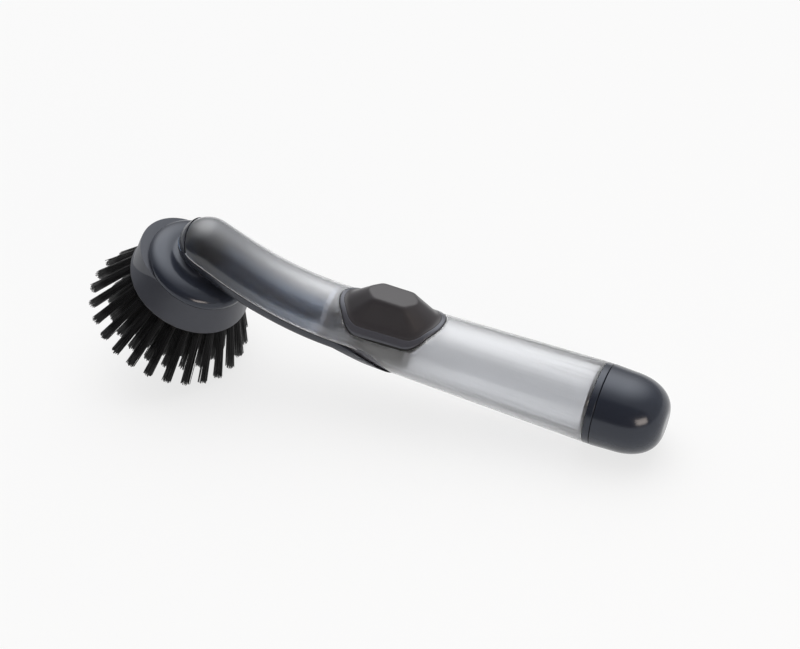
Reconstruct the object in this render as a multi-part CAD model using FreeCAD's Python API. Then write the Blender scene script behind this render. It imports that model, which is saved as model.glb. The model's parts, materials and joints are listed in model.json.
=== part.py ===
import FreeCAD, Part
import functools
import math
import os
from collections import namedtuple

from FreeCAD import Placement, Rotation, Vector

# A dish wand: a translucent soap handle with a squeeze pump, a bent neck, a clip-on tufted
# brush head and a screw cap. Lengths are in millimetres and angles in degrees.
# The wand is drawn along X. x = 0 is where the tube meets the end ring, the cap lies towards
# +X, the neck and the brush head towards -X, and +Z is the bulb's side. The brush head is drawn
# about its own axis, with z = 0 where it meets the wand. At the end everything is turned to the
# pose in which the wand lies on a worktop.

# Handle tube
TUBE_LENGTH = 112.0
TUBE_END_RADIUS = 17.3
TUBE_NECK_RADIUS = 14.5
WALL = 1.8

# Neck: the tube bends up towards the head and ends in a round nose
HEAD_PITCH = 24.0
BEND_RADIUS = 135.0
NECK_RUN = 11.5
NOSE_RADIUS = 12.7
BEND_RINGS = 6

# Trim tray under the neck, and its tongue under the tube
TRIM_HEIGHT = 4.3
TRIM_FLOOR = 1.8
TRIM_PROUD = 0.5
TRIM_RECESS = 0.9
TONGUE_SETBACK = 12.0
TONGUE_RADIUS = 14.5
TONGUE_SAG = 4.2
RIDGE_SAG = 2.9
RAMP_SAG = 0.9
SEAM_GAP = 0.1

# Window in the top of the tube for the bulb: a hexagon with rounded corners
WINDOW_SETBACK = 20.6
WINDOW_TIP = 26.2
WINDOW_SIDE = 15.4
WINDOW_MARGIN = 1.5
WINDOW_TIP_ROUND = 10.8
WINDOW_CORNER_ROUND = 10.7
WINDOW_LEDGE = 0.8
BEZEL_WIDTH = 2.4
BEZEL_PROUD = 0.5
BEZEL_FIT = 0.1
BEZEL_SEAM = 0.25

# Squeeze bulb: a skirt through the bezel, and a hexagonal frustum with a flat top
BULB_RISE = 7.4
BULB_SKIRT = 0.5
BULB_WALL = 1.6
BULB_LEDGE = 0.2
BULB_FIT = 0.15
BULB_FOOT_TIP = 32.0
BULB_FOOT_SIDE = 14.5
BULB_FOOT_ROUND = 6.0
BULB_TOP_TIP = 12.2
BULB_TOP_SIDE = 6.8
BULB_TOP_HALF_WIDTH = 5.1
BULB_TOP_ROUND = 3.0
BULB_EDGE = 0.9
BULB_GRIP = 1.0
FLANGE_LIP = 1.0
FLANGE_HEIGHT = 1.5

# Pump chamber: a curved plate under the bulb and a cup below its front, with a valve in the cup's
# floor and one in its nozzle
CHAMBER_DEPTH = 8.0
CHAMBER_PLATE = 2.0
CHAMBER_REACH = 12.0
CHAMBER_WALL = 1.6
CHAMBER_GAP = 0.3
NOZZLE_RADIUS = 2.2
NOZZLE_BORE = 1.5
NOZZLE_REACH = 11.5
VALVE_POCKET_RADIUS = 2.5
VALVE_POCKET_DEPTH = 1.0
INLET_SETBACK = 3.0
INLET_CAP_RADIUS = 4.0
INLET_CAP_HEIGHT = 0.8
INLET_CROWN_RADIUS = 2.0
INLET_STEM_RADIUS = 0.95
INLET_BEAD_RADIUS = 1.5
INLET_BEAD_HEIGHT = 1.5
INLET_PORT_RADIUS = 0.7
INLET_PORT_SPREAD = 2.6
INLET_PORTS = 6
BULKHEAD_SETBACK = 5.5
BULKHEAD_THICKNESS = 2.0
FIT = 0.05

# Soap duct: a hose from the chamber's nozzle to the elbow over the head
DUCT_DROP = 3.2
DUCT_LIFT = 3.2
DUCT_RADIUS = 3.0
DUCT_LEVEL_RUN = 4.6
ELBOW_RADIUS = 5.5
ELBOW_HEIGHT = 7.5
ELBOW_FLANGE_RADIUS = 7.5
ELBOW_FLANGE_HEIGHT = 1.2
ELBOW_PLUG_RADIUS = 5.0
ELBOW_PLUG_DEPTH = 4.0
ELBOW_REACH = 6.0
SOAP_BORE = 1.8

# End ring with its sleeve in the tube and the filler mouth that the cap screws on
RING_WIDTH = 3.05
RING_GAP = 0.2
SLEEVE_LENGTH = 1.6
SLEEVE_WALL = 2.4
RING_SEAL_SECTION = 0.4
MOUTH_STEP = 4.3
MOUTH_WALL = 2.0
MOUTH_LENGTH = 10.0

# Screw cap
CAP_GAP = 0.25
CAP_PROUD = 0.1
CAP_DRAFT = 0.4
CAP_STRAIGHT = 8.7
CAP_LENGTH = 27.1
CAP_FLAT_RADIUS = 4.5
CAP_SHOULDER_HANDLE = 13.0
CAP_END_HANDLE = 6.0
CAP_WALL = 3.2
CAP_THREAD_GAP = 0.35
CAP_SLEEVE_WALL = 1.45
CAP_CORE_WIDTH = 0.9
CAP_CORE_DEPTH = 7.7
CAP_SEAL_HEIGHT = 1.0

# Seat: the bell under the neck that carries the head
SEAT_DROP = 13.5
SEAT_SETBACK = 1.0
SEAT_GAP = 0.1
SEAT_EDGE = 0.9
SEAT_BEAD = 5.0
PEDESTAL_RADIUS = 10.0
LIP_DEPTH = 3.0
LIP_WALL = 1.8
SEAT_ROOF = 2.4
SPIGOT_RADIUS = 9.2
SPIGOT_DEPTH = 6.5
HEAD_SEAL_SECTION = 0.8
HEAD_SEAL_DEPTH = 2.5
GROOVE_SLACK = 0.1
VALVE_RADIUS = 6.2
VALVE_DEPTH = 2.5
VALVE_FLANGE = 0.95
VALVE_DOME_RADIUS = 2.6
RETAINER_WINDOW = 3.4

# Brush head: conical collar, cup, socket, finger tab and tuft plate
COLLAR_TOP_RADIUS = 23.34
COLLAR_RIM_RADIUS = 27.5
COLLAR_HEIGHT = 12.26
RIM_ROUND = 0.8
COLLAR_WALL = 2.04
PLATE_THICKNESS = 4.76
SOCKET_GAP = 0.4
SOCKET_WALL = 1.8
SOCKET_CLEARANCE = 0.8
OUTLET_RADIUS = 2.2
TAB_REACH = 28.0
TAB_CENTRE = 7.2
LIP_CLEARANCE = 0.3

# Tufts: one ring of octagonal bundles to each node, held by flat wires in their holes
OUTER_ROOT = 23.4
OUTER_TIP = 34.8
OUTER_LENGTH = 25.5
SECOND_ROOT = 17.8
SECOND_TIP = 26.8
SECOND_LENGTH = 27.7
THIRD_ROOT = 12.1
THIRD_TIP = 19.2
THIRD_LENGTH = 29.3
INNER_ROOT = 6.4
INNER_TIP = 11.2
INNER_LENGTH = 30.6
Ring = namedtuple("Ring", "node count root tip length")
RINGS = (
    Ring("tufts_outer", 26, OUTER_ROOT, OUTER_TIP, OUTER_LENGTH),
    Ring("tufts_second", 20, SECOND_ROOT, SECOND_TIP, SECOND_LENGTH),
    Ring("tufts_third", 14, THIRD_ROOT, THIRD_TIP, THIRD_LENGTH),
    Ring("tufts_inner", 8, INNER_ROOT, INNER_TIP, INNER_LENGTH),
)
TUFT_SIDES = 8
TUFT_ROOT_RADIUS = 1.65
TUFT_TIP_RADIUS = 2.5
HOLE_CLEARANCE = 0.06
HOLE_DEPTH = 3.6
ANCHOR_HEIGHT = 1.6
ANCHOR_WIDTH = 2.6
ANCHOR_THICKNESS = 0.4

# Cutting solids reach this far past the wand
CLEAR = 70.0

# The resting tilt is found to this part of a radian
TILT_STEP = 1e-9

# Places that follow from the sizes
PITCH = math.radians(HEAD_PITCH)
RUN_AXIS = Vector(-math.cos(PITCH), 0, math.sin(PITCH))
HEAD_AXIS = Vector(math.sin(PITCH), 0, math.cos(PITCH))
BEND_LENGTH = BEND_RADIUS * PITCH
NECK_LENGTH = BEND_LENGTH + NECK_RUN
BEND_END = Vector(-TUBE_LENGTH - BEND_RADIUS * math.sin(PITCH), 0, BEND_RADIUS * (1 - math.cos(PITCH)))
NOSE_CENTRE = BEND_END + RUN_AXIS * NECK_RUN
HEAD_ORIGIN = NOSE_CENTRE - HEAD_AXIS * SEAT_DROP - RUN_AXIS * SEAT_SETBACK
TONGUE_X = -TUBE_LENGTH + TONGUE_SETBACK
TONGUE_TIP_X = TONGUE_X + TONGUE_RADIUS
WINDOW_X = -TUBE_LENGTH + WINDOW_SETBACK
BULKHEAD_X = -TUBE_LENGTH - BULKHEAD_SETBACK
CAP_X = RING_WIDTH + CAP_GAP
MOUTH_X = RING_WIDTH + MOUTH_LENGTH
MOUTH_RADIUS = TUBE_END_RADIUS - MOUTH_STEP
MOUTH_BORE = MOUTH_RADIUS - MOUTH_WALL
CAP_RADIUS = TUBE_END_RADIUS + CAP_PROUD
CAP_SHOULDER_RADIUS = CAP_RADIUS - CAP_DRAFT
PEDESTAL_HEIGHT = SEAT_DROP - TRIM_HEIGHT - SEAM_GAP
TRAY_HEIGHT = SEAT_DROP - TRIM_HEIGHT + TRIM_FLOOR
CUP_RADIUS = COLLAR_TOP_RADIUS - COLLAR_WALL
PLATE_TOP = PLATE_THICKNESS - COLLAR_HEIGHT
SOCKET_RADIUS = SPIGOT_RADIUS + SOCKET_GAP


def tube_radius(x):
    """Outer radius of the tapered tube at x."""
    return TUBE_END_RADIUS + (TUBE_END_RADIUS - TUBE_NECK_RADIUS) * x / TUBE_LENGTH


WINDOW_HALF_WIDTH = tube_radius(WINDOW_X) - WINDOW_MARGIN
WINDOW_FLOOR = math.sqrt(tube_radius(WINDOW_X) ** 2 - WINDOW_HALF_WIDTH ** 2) - WINDOW_LEDGE
BULB_FLOOR = WINDOW_FLOOR - BULB_GRIP
DUCT_HEIGHT = BULB_FLOOR - DUCT_DROP
BULB_TOP = tube_radius(WINDOW_X) + BULB_RISE
FLANGE_DEPTH = WALL + CHAMBER_GAP + FLANGE_HEIGHT


def polar(centre, radius, angle):
    """Point of a circle, at an angle from the first axis."""
    turn = math.radians(angle)
    return (centre[0] + radius * math.cos(turn), centre[1] + radius * math.sin(turn))


def profile(start, *moves):
    """Face in the XZ plane. A move is a point to go straight to, a (through, to) pair for an
    arc, or a (handle, handle, to) triple for a curve."""
    flat = [[Vector(x, 0, z) for x, z in (move if isinstance(move[0], tuple) else (move,))]
            for move in moves + (start,)]
    here = Vector(start[0], 0, start[1])
    edges = []
    for points in flat:
        if len(points) == 1:
            edges.append(Part.LineSegment(here, points[0]).toShape())
        elif len(points) == 2:
            edges.append(Part.Arc(here, points[0], points[1]).toShape())
        else:
            curve = Part.BezierCurve()
            curve.setPoles([here] + points)
            edges.append(curve.toShape())
        here = points[-1]
    return Part.Face(Part.Wire(edges))


def turned(face, axis):
    """Solid made by turning a face once round an axis through the origin."""
    return face.revolve(Vector(), axis, 360)


def rounded_wire(corners, z):
    """Closed wire at height z through (x, y, radius) corners, each rounded by its radius."""
    bends = []
    for i, (x, y, radius) in enumerate(corners):
        corner = Vector(x, y, z)
        back = Vector(corners[i - 1][0], corners[i - 1][1], z) - corner
        ahead = corners[(i + 1) % len(corners)]
        on = Vector(ahead[0], ahead[1], z) - corner
        half = back.getAngle(on) / 2
        back.normalize()
        on.normalize()
        inward = (back + on).normalize()
        reach = radius / math.tan(half)
        middle = corner + inward * (radius / math.sin(half) - radius)
        bends.append((corner + back * reach, middle, corner + on * reach))
    edges = []
    for (start, middle, end), following in zip(bends, bends[1:] + bends[:1]):
        edges.append(Part.Arc(start, middle, end).toShape())
        edges.append(Part.LineSegment(end, following[0]).toShape())
    return Part.Wire(edges)


def hexagon(tip, side, half_width, tip_round, corner_round, inset, z):
    """Hexagon along X over the window's centre, drawn in by inset, with rounded corners."""
    slant = math.hypot(tip - side, half_width)
    width = half_width - inset
    point = tip - inset * slant / half_width
    edge = (tip * half_width - inset * slant - width * (tip - side)) / half_width
    sharp = BULB_EDGE / 2
    tip_round = max(tip_round - inset, sharp)
    corner_round = max(corner_round - inset, sharp)
    right = [(edge, -width, corner_round), (point, 0, tip_round), (edge, width, corner_round)]
    left = [(-x, -y, radius) for x, y, radius in right]
    wire = rounded_wire(right + left, z)
    wire.translate(Vector(WINDOW_X, 0, 0))
    return wire


def window_prism(inset, floor, height=CLEAR):
    """Upright prism of the window's outline, drawn in by inset, from floor up."""
    wire = hexagon(WINDOW_TIP, WINDOW_SIDE, WINDOW_HALF_WIDTH, WINDOW_TIP_ROUND,
                   WINDOW_CORNER_ROUND, inset, floor)
    return Part.Face(wire).extrude(Vector(0, 0, height))


def neck_ring(along, offset):
    """Circle round the neck's spine, at a length along it from the tube's end."""
    turn = min(along / BEND_RADIUS, PITCH)
    past = max(along - BEND_LENGTH, 0)
    spine = Vector(-TUBE_LENGTH - BEND_RADIUS * math.sin(turn), 0, BEND_RADIUS * (1 - math.cos(turn)))
    radius = TUBE_NECK_RADIUS + (NOSE_RADIUS - TUBE_NECK_RADIUS) * along / NECK_LENGTH
    circle = Part.makeCircle(radius + offset, Vector(), Vector(-1, 0, 0))
    circle.rotate(Vector(), Vector(0, 1, 0), math.degrees(turn))
    circle.translate(spine + RUN_AXIS * past)
    return Part.Wire(circle)


@functools.lru_cache(maxsize=None)
def wand_form(offset, overrun=0.0):
    """The wand's round form grown by offset: tapered tube, bent neck and half-round nose."""
    tube = Part.makeCone(tube_radius(overrun) + offset, TUBE_NECK_RADIUS + offset,
                         TUBE_LENGTH + overrun, Vector(overrun, 0, 0), Vector(-1, 0, 0))
    stations = [BEND_LENGTH * i / (BEND_RINGS - 1) for i in range(BEND_RINGS)]
    stations += [BEND_LENGTH + NECK_RUN / 2, NECK_LENGTH]
    neck = Part.makeLoft([neck_ring(along, offset) for along in stations], True)
    nose = Part.makeSphere(NOSE_RADIUS + offset, NOSE_CENTRE, RUN_AXIS, 0, 90, 360)
    return tube.fuse([neck, nose])


def under(drop, turn_x, end, sag):
    """All that lies under a side line: lower than the spine by drop as far back as turn_x,
    then on an arc down to end that rises over its chord by sag."""
    lowered = HEAD_AXIS * -drop
    far = NOSE_CENTRE + RUN_AXIS * CLEAR + lowered
    bend = BEND_END + lowered
    bend_centre = (-TUBE_LENGTH, BEND_RADIUS)
    run = end[0] - turn_x
    fall = -drop - end[1]
    chord = math.hypot(run, fall)
    crest = (turn_x + run / 2 + sag * fall / chord, -drop - fall / 2 + sag * run / chord)
    moves = [
        (bend.x, bend.z),
        (polar(bend_centre, BEND_RADIUS + drop, -90 - HEAD_PITCH / 2), (-TUBE_LENGTH, -drop)),
        (crest, end),
        (end[0], -CLEAR),
        (far.x, -CLEAR),
    ]
    if turn_x > -TUBE_LENGTH:
        moves.insert(2, (turn_x, -drop))
    face = profile((far.x, far.z), *moves)
    face.translate(Vector(0, -CLEAR, 0))
    return face.extrude(Vector(0, 2 * CLEAR, 0))


def tray_floor(lift):
    """All that lies under the top of the trim's floor, raised by lift."""
    end = (TONGUE_TIP_X - SEAM_GAP, WALL + lift - tube_radius(TONGUE_TIP_X))
    return under(TRIM_HEIGHT - TRIM_FLOOR - lift, -TUBE_LENGTH, end, RAMP_SAG)


def body_shell():
    """Translucent tube, neck and nose in one wall, open under the neck and at the window."""
    shell = wand_form(0.0).cut(wand_form(-WALL, overrun=WALL))
    shell = shell.cut(under(0.0, TONGUE_X, (TONGUE_TIP_X, -TONGUE_RADIUS), TONGUE_SAG))
    return shell.cut(window_prism(-BEZEL_SEAM, WINDOW_FLOOR))


def neck_trim():
    """Tray that closes the neck, with a recessed web beside its tongue and a hole for the elbow."""
    tip = (TONGUE_TIP_X - SEAM_GAP, -TONGUE_RADIUS)
    ridge = under(SEAM_GAP, -TUBE_LENGTH, tip, RIDGE_SAG)
    edge = under(SEAM_GAP, TONGUE_X, tip, TONGUE_SAG)
    base_end = (tip[0], -tube_radius(tip[0]) - 2 * TRIM_PROUD)
    base = under(TRIM_HEIGHT, -TUBE_LENGTH, base_end, RAMP_SAG)
    outer = wand_form(TRIM_PROUD).common(ridge).cut(base)
    web = wand_form(-TRIM_RECESS).common(edge.cut(ridge))
    hollow = wand_form(-WALL).cut(tray_floor(0.0))
    hole = Part.makeCylinder(ELBOW_PLUG_RADIUS + FIT, SEAT_DROP)
    return outer.fuse(web).cut(hollow).cut(on_head(hole))


def bulb_bezel():
    """Thin frame in the window, curved with the tube and slightly proud of it."""
    ring = window_prism(0.0, WINDOW_FLOOR + BEZEL_FIT).cut(window_prism(BEZEL_WIDTH, WINDOW_FLOOR))
    return ring.common(wand_form(BEZEL_PROUD).cut(wand_form(-WALL)))


def bulb_frustum(inset):
    """Faceted upper part of the bulb, drawn in by inset on every side."""
    half_width = WINDOW_HALF_WIDTH - BEZEL_WIDTH - BULB_FIT - BULB_LEDGE
    foot_z = math.sqrt((tube_radius(WINDOW_X) + BULB_SKIRT) ** 2 - half_width ** 2)
    top_z = BULB_TOP - inset
    rings = [
        hexagon(BULB_FOOT_TIP, BULB_FOOT_SIDE, half_width, BULB_FOOT_ROUND, BULB_FOOT_ROUND,
                inset, foot_z),
        hexagon(BULB_TOP_TIP, BULB_TOP_SIDE, BULB_TOP_HALF_WIDTH, BULB_TOP_ROUND, BULB_TOP_ROUND,
                inset - BULB_EDGE, top_z - BULB_EDGE),
        hexagon(BULB_TOP_TIP, BULB_TOP_SIDE, BULB_TOP_HALF_WIDTH, BULB_TOP_ROUND, BULB_TOP_ROUND,
                inset, top_z),
    ]
    return Part.makeLoft(rings, True, True)


def pump_bulb():
    """Hollow silicone bulb: flange under the tube's wall, skirt through the bezel, faceted top."""
    inset = BEZEL_WIDTH + BULB_FIT
    skirt = window_prism(inset, BULB_FLOOR).common(wand_form(BULB_SKIRT))
    top = bulb_frustum(0.0).common(window_prism(inset, BULB_FLOOR)).cut(wand_form(BULB_SKIRT - SEAM_GAP))
    flange = window_prism(-FLANGE_LIP, BULB_FLOOR).common(wand_form(-WALL - CHAMBER_GAP))
    cavity = window_prism(inset + BULB_WALL, BULB_FLOOR).common(wand_form(SEAM_GAP))
    dome = bulb_frustum(BULB_WALL).cut(wand_form(0.0))
    return skirt.fuse([top, flange]).cut(cavity.fuse([dome, wand_form(-FLANGE_DEPTH)]))


def behind(x):
    """All that lies behind a place along the tube, on the cap's side."""
    return Part.makeBox(CLEAR, 2 * CLEAR, 2 * CLEAR, Vector(x, -CLEAR, -CLEAR))


def pump_chamber():
    """Plate and cup under the bulb, with inlet holes in the cup's floor and a nozzle in front."""
    floor = -CHAMBER_DEPTH
    rim = BULB_FLOOR - SEAM_GAP
    back = WINDOW_X + CHAMBER_REACH
    under_flange = FLANGE_DEPTH + SEAM_GAP
    crown = window_prism(-FLANGE_LIP, rim - SEAM_GAP).common(wand_form(-under_flange))
    plate = crown.cut(wand_form(-under_flange - CHAMBER_PLATE))
    cup = window_prism(-FLANGE_LIP, floor, rim - floor).common(wand_form(-WALL - CHAMBER_GAP))
    cup = cup.fuse(crown).cut(behind(back)).fuse(plate).cut(tray_floor(CHAMBER_GAP))
    wall = BEZEL_WIDTH + BULB_FIT + BULB_WALL
    hollow = window_prism(wall, floor + CHAMBER_WALL).cut(behind(back - CHAMBER_WALL))
    hollow = hollow.common(wand_form(-WALL - CHAMBER_GAP - CHAMBER_WALL))
    hollow = hollow.cut(tray_floor(CHAMBER_GAP + CHAMBER_WALL))
    front = Vector(chamber_front(), 0, DUCT_HEIGHT)
    toward_neck = Vector(-1, 0, 0)
    reach = front.x + TUBE_LENGTH + NOZZLE_REACH
    nozzle = Part.makeCylinder(NOZZLE_RADIUS, reach, front, toward_neck)
    bore = Part.makeCylinder(NOZZLE_BORE, reach, front, toward_neck)
    pocket = Part.makeCylinder(VALVE_POCKET_RADIUS, VALVE_POCKET_DEPTH, front, toward_neck)
    cup = cup.cut(hollow).fuse(nozzle).cut(bore.fuse(pocket))
    inlet_x = WINDOW_X + INLET_SETBACK
    holes = [Part.makeCylinder(INLET_STEM_RADIUS + FIT, CHAMBER_DEPTH, Vector(inlet_x, 0, 2 * floor))]
    for i in range(INLET_PORTS):
        place = polar((inlet_x, 0), INLET_PORT_SPREAD, 360 * i / INLET_PORTS)
        holes.append(Part.makeCylinder(INLET_PORT_RADIUS, CHAMBER_DEPTH, Vector(*place, 2 * floor)))
    for hole in holes:
        hole.translate(Vector(0, 0, CHAMBER_WALL))
    return cup.cut(holes)


def chamber_front():
    """x of the chamber's front wall, inside the cup, at the nozzle's height."""
    inset = BEZEL_WIDTH + BULB_FIT + BULB_WALL
    slope = math.atan2(WINDOW_HALF_WIDTH, WINDOW_TIP - WINDOW_SIDE)
    point = WINDOW_TIP - WINDOW_TIP_ROUND * (1 / math.sin(slope) - 1)
    return WINDOW_X - point + inset


def inlet_valve():
    """Umbrella valve in the chamber's floor: cap inside, stem through, bead outside."""
    floor = -CHAMBER_DEPTH
    top = floor + CHAMBER_WALL
    bead_top = floor - FIT
    bead_base = bead_top - INLET_BEAD_HEIGHT
    face = profile(
        (0, bead_base),
        (INLET_STEM_RADIUS, bead_base),
        (INLET_BEAD_RADIUS, bead_top),
        (INLET_STEM_RADIUS, bead_top),
        (INLET_STEM_RADIUS, top + FIT),
        (INLET_CAP_RADIUS, top + FIT),
        (INLET_CROWN_RADIUS, top + FIT + INLET_CAP_HEIGHT),
        (0, top + FIT + INLET_CAP_HEIGHT),
    )
    valve = turned(face, Vector(0, 0, 1))
    valve.translate(Vector(WINDOW_X + INLET_SETBACK, 0, 0))
    return valve


def outlet_valve():
    """Duckbill valve in the nozzle: a flange in the pocket and two lips that meet in a line."""
    flange_radius = VALVE_POCKET_RADIUS - FIT
    body_radius = NOZZLE_BORE - FIT
    length = 3 * body_radius
    start = VALVE_POCKET_DEPTH
    flange = Part.makeCylinder(flange_radius, start - FIT, Vector(FIT, 0, 0), Vector(1, 0, 0))
    bill = Part.makeCylinder(body_radius, length, Vector(start - FIT, 0, 0), Vector(1, 0, 0))
    lip = profile(
        (0, -VALVE_POCKET_RADIUS), (start, -body_radius), (start + length, -FIT),
        (start + length, FIT), (start, body_radius), (0, VALVE_POCKET_RADIUS),
    )
    lip.translate(Vector(0, -CLEAR, 0))
    wedge = lip.extrude(Vector(0, 2 * CLEAR, 0))
    valve = flange.fuse(bill.common(wedge))
    valve.rotate(Vector(), Vector(0, 0, 1), 180)
    valve.translate(Vector(chamber_front(), 0, DUCT_HEIGHT))
    return valve


def bulkhead():
    """Wall across the tube in front of the pump, with a hole for the nozzle."""
    slab = Part.makeBox(BULKHEAD_THICKNESS, 2 * CLEAR, 2 * CLEAR,
                        Vector(BULKHEAD_X - BULKHEAD_THICKNESS, -CLEAR, -CLEAR))
    wall = wand_form(-WALL - FIT).common(slab).cut(tray_floor(FIT))
    hole = Part.makeCylinder(NOZZLE_RADIUS + FIT, CLEAR, Vector(-TUBE_LENGTH, 0, DUCT_HEIGHT),
                             Vector(-1, 0, 0))
    return wall.cut(hole)


def soap_duct():
    """Hose from the nozzle to the elbow: a level run, one bend and a rising run."""
    start = Vector(BULKHEAD_X - BULKHEAD_THICKNESS - FIT, 0, DUCT_HEIGHT)
    end = HEAD_ORIGIN + HEAD_AXIS * (SEAT_DROP + DUCT_LIFT) - RUN_AXIS * (ELBOW_RADIUS + FIT)
    rise = (end.z - start.z) / math.sin(PITCH)
    corner = end - RUN_AXIS * rise
    leave = start - Vector(DUCT_LEVEL_RUN, 0, 0)
    tangent = leave.x - corner.x
    arrive = corner + RUN_AXIS * tangent
    bend = tangent / math.tan(PITCH / 2)
    middle = leave + Vector(-bend * math.sin(PITCH / 2), 0, bend * (1 - math.cos(PITCH / 2)))
    path = Part.Wire([
        Part.LineSegment(start, leave).toShape(),
        Part.Arc(leave, middle, arrive).toShape(),
        Part.LineSegment(arrive, end).toShape(),
    ])
    level = Vector(-1, 0, 0)
    outer = path.makePipeShell([Part.Wire(Part.makeCircle(DUCT_RADIUS, start, level))], True, False)
    inner = path.makePipeShell([Part.Wire(Part.makeCircle(NOZZLE_RADIUS + FIT, start, level))], True, False)
    return outer.cut(inner)


def duct_elbow():
    """Post on the trim's floor that turns the soap down: side spigot, flange and plug."""
    base = TRAY_HEIGHT + FIT
    plug_end = PEDESTAL_HEIGHT - ELBOW_PLUG_DEPTH
    port_z = SEAT_DROP + DUCT_LIFT
    post = Part.makeCylinder(ELBOW_RADIUS, ELBOW_HEIGHT, Vector(0, 0, base))
    flange = Part.makeCylinder(ELBOW_FLANGE_RADIUS, ELBOW_FLANGE_HEIGHT, Vector(0, 0, base))
    plug = Part.makeCylinder(ELBOW_PLUG_RADIUS, base - plug_end, Vector(0, 0, plug_end))
    spigot = Part.makeCylinder(NOZZLE_RADIUS, ELBOW_RADIUS + ELBOW_REACH, Vector(0, 0, port_z), Vector(1, 0, 0))
    across = Part.makeCylinder(NOZZLE_BORE, ELBOW_RADIUS + ELBOW_REACH, Vector(0, 0, port_z), Vector(1, 0, 0))
    down = Part.makeCylinder(SOAP_BORE, port_z - plug_end, Vector(0, 0, plug_end))
    return on_head(post.fuse([flange, plug, spigot]).cut(across.fuse(down)))


def head_seat():
    """Bell under the neck: trumpet outside, lip and spigot inside, bored for the soap."""
    edge = COLLAR_TOP_RADIUS
    crest = SEAT_GAP + SEAT_EDGE + SEAT_BEAD
    bead_radius = edge - SEAT_BEAD
    rise = PEDESTAL_HEIGHT - crest
    run = bead_radius - PEDESTAL_RADIUS
    flare = (run ** 2 + rise ** 2) / (2 * rise)
    sweep = math.degrees(math.asin(min(run / flare, 1)))
    bore_top = PEDESTAL_HEIGHT - ELBOW_PLUG_DEPTH - FIT
    plug_hole = ELBOW_PLUG_RADIUS + FIT
    groove = SPIGOT_RADIUS + SOCKET_GAP - GROOVE_SLACK - 2 * HEAD_SEAL_SECTION
    groove_half = HEAD_SEAL_SECTION + GROOVE_SLACK
    lip = CUP_RADIUS - LIP_CLEARANCE
    face = profile(
        (lip, -LIP_DEPTH),
        (lip, SEAT_GAP),
        (edge, SEAT_GAP),
        (edge, SEAT_GAP + SEAT_EDGE),
        (polar((bead_radius, crest - SEAT_BEAD), SEAT_BEAD, 45), (bead_radius, crest)),
        (polar((bead_radius, crest + flare), flare, -90 - sweep / 2), (PEDESTAL_RADIUS, PEDESTAL_HEIGHT)),
        (plug_hole, PEDESTAL_HEIGHT),
        (plug_hole, bore_top),
        (SOAP_BORE, bore_top),
        (SOAP_BORE, VALVE_DEPTH - SPIGOT_DEPTH),
        (VALVE_RADIUS, VALVE_DEPTH - SPIGOT_DEPTH),
        (VALVE_RADIUS, -SPIGOT_DEPTH),
        (SPIGOT_RADIUS, -SPIGOT_DEPTH),
        (SPIGOT_RADIUS, -HEAD_SEAL_DEPTH - groove_half),
        (groove, -HEAD_SEAL_DEPTH - groove_half),
        (groove, groove_half - HEAD_SEAL_DEPTH),
        (SPIGOT_RADIUS, groove_half - HEAD_SEAL_DEPTH),
        (SPIGOT_RADIUS, SEAT_ROOF),
        (lip - LIP_WALL, SEAT_ROOF),
        (lip - LIP_WALL, -LIP_DEPTH),
    )
    return on_head(turned(face, Vector(0, 0, 1)))


def head_seal():
    """O-ring in the spigot's groove."""
    centre = SPIGOT_RADIUS + SOCKET_GAP - GROOVE_SLACK - HEAD_SEAL_SECTION
    return on_head(Part.makeTorus(centre, HEAD_SEAL_SECTION, Vector(0, 0, -HEAD_SEAL_DEPTH)))


def dispensing_valve():
    """Slit valve in the spigot's end: a flange and a small dome with a cross slit."""
    seat = VALVE_DEPTH - SPIGOT_DEPTH - FIT
    skin = VALVE_FLANGE / 2
    slit = VALVE_DOME_RADIUS - skin
    flange = Part.makeCylinder(VALVE_RADIUS - FIT, VALVE_FLANGE, Vector(0, 0, seat - VALVE_FLANGE))
    dome = Part.makeSphere(VALVE_DOME_RADIUS, Vector(0, 0, seat), Vector(0, 0, 1), -90, 0, 360)
    hollow = Part.makeSphere(slit, Vector(0, 0, seat), Vector(0, 0, 1), -90, 0, 360)
    valve = flange.fuse(dome).cut(hollow)
    for turn in (0, 90):
        cut = Part.makeBox(slit, 2 * FIT, CLEAR, Vector(-slit / 2, -FIT, seat - CLEAR))
        cut.rotate(Vector(), Vector(0, 0, 1), turn)
        valve = valve.cut(cut)
    return on_head(valve)


def valve_retainer():
    """Flat ring that holds the slit valve in the spigot."""
    height = VALVE_DEPTH - VALVE_FLANGE - 2 * FIT
    ring = Part.makeCylinder(VALVE_RADIUS - FIT, height, Vector(0, 0, -SPIGOT_DEPTH))
    return on_head(ring.cut(Part.makeCylinder(RETAINER_WINDOW, height, Vector(0, 0, -SPIGOT_DEPTH))))


def end_ring():
    """Ring on the tube's end: short sleeve inside the tube, filler mouth towards the cap."""
    root = tube_radius(0) - WALL - FIT
    tail = tube_radius(-SLEEVE_LENGTH) - WALL - FIT
    middle = tube_radius(0) - WALL / 2
    half = RING_SEAL_SECTION + GROOVE_SLACK
    floor = FIT + RING_SEAL_SECTION + half
    face = profile(
        (-SLEEVE_LENGTH, tail - SLEEVE_WALL),
        (-SLEEVE_LENGTH, tail),
        (RING_GAP, root),
        (RING_GAP, middle - half),
        (floor, middle - half),
        (floor, middle + half),
        (RING_GAP, middle + half),
        (RING_GAP, TUBE_END_RADIUS),
        (RING_WIDTH, TUBE_END_RADIUS),
        (RING_WIDTH, MOUTH_RADIUS),
        (MOUTH_X, MOUTH_RADIUS),
        (MOUTH_X, MOUTH_BORE),
        (0, MOUTH_BORE),
    )
    return turned(face, Vector(1, 0, 0))


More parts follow.
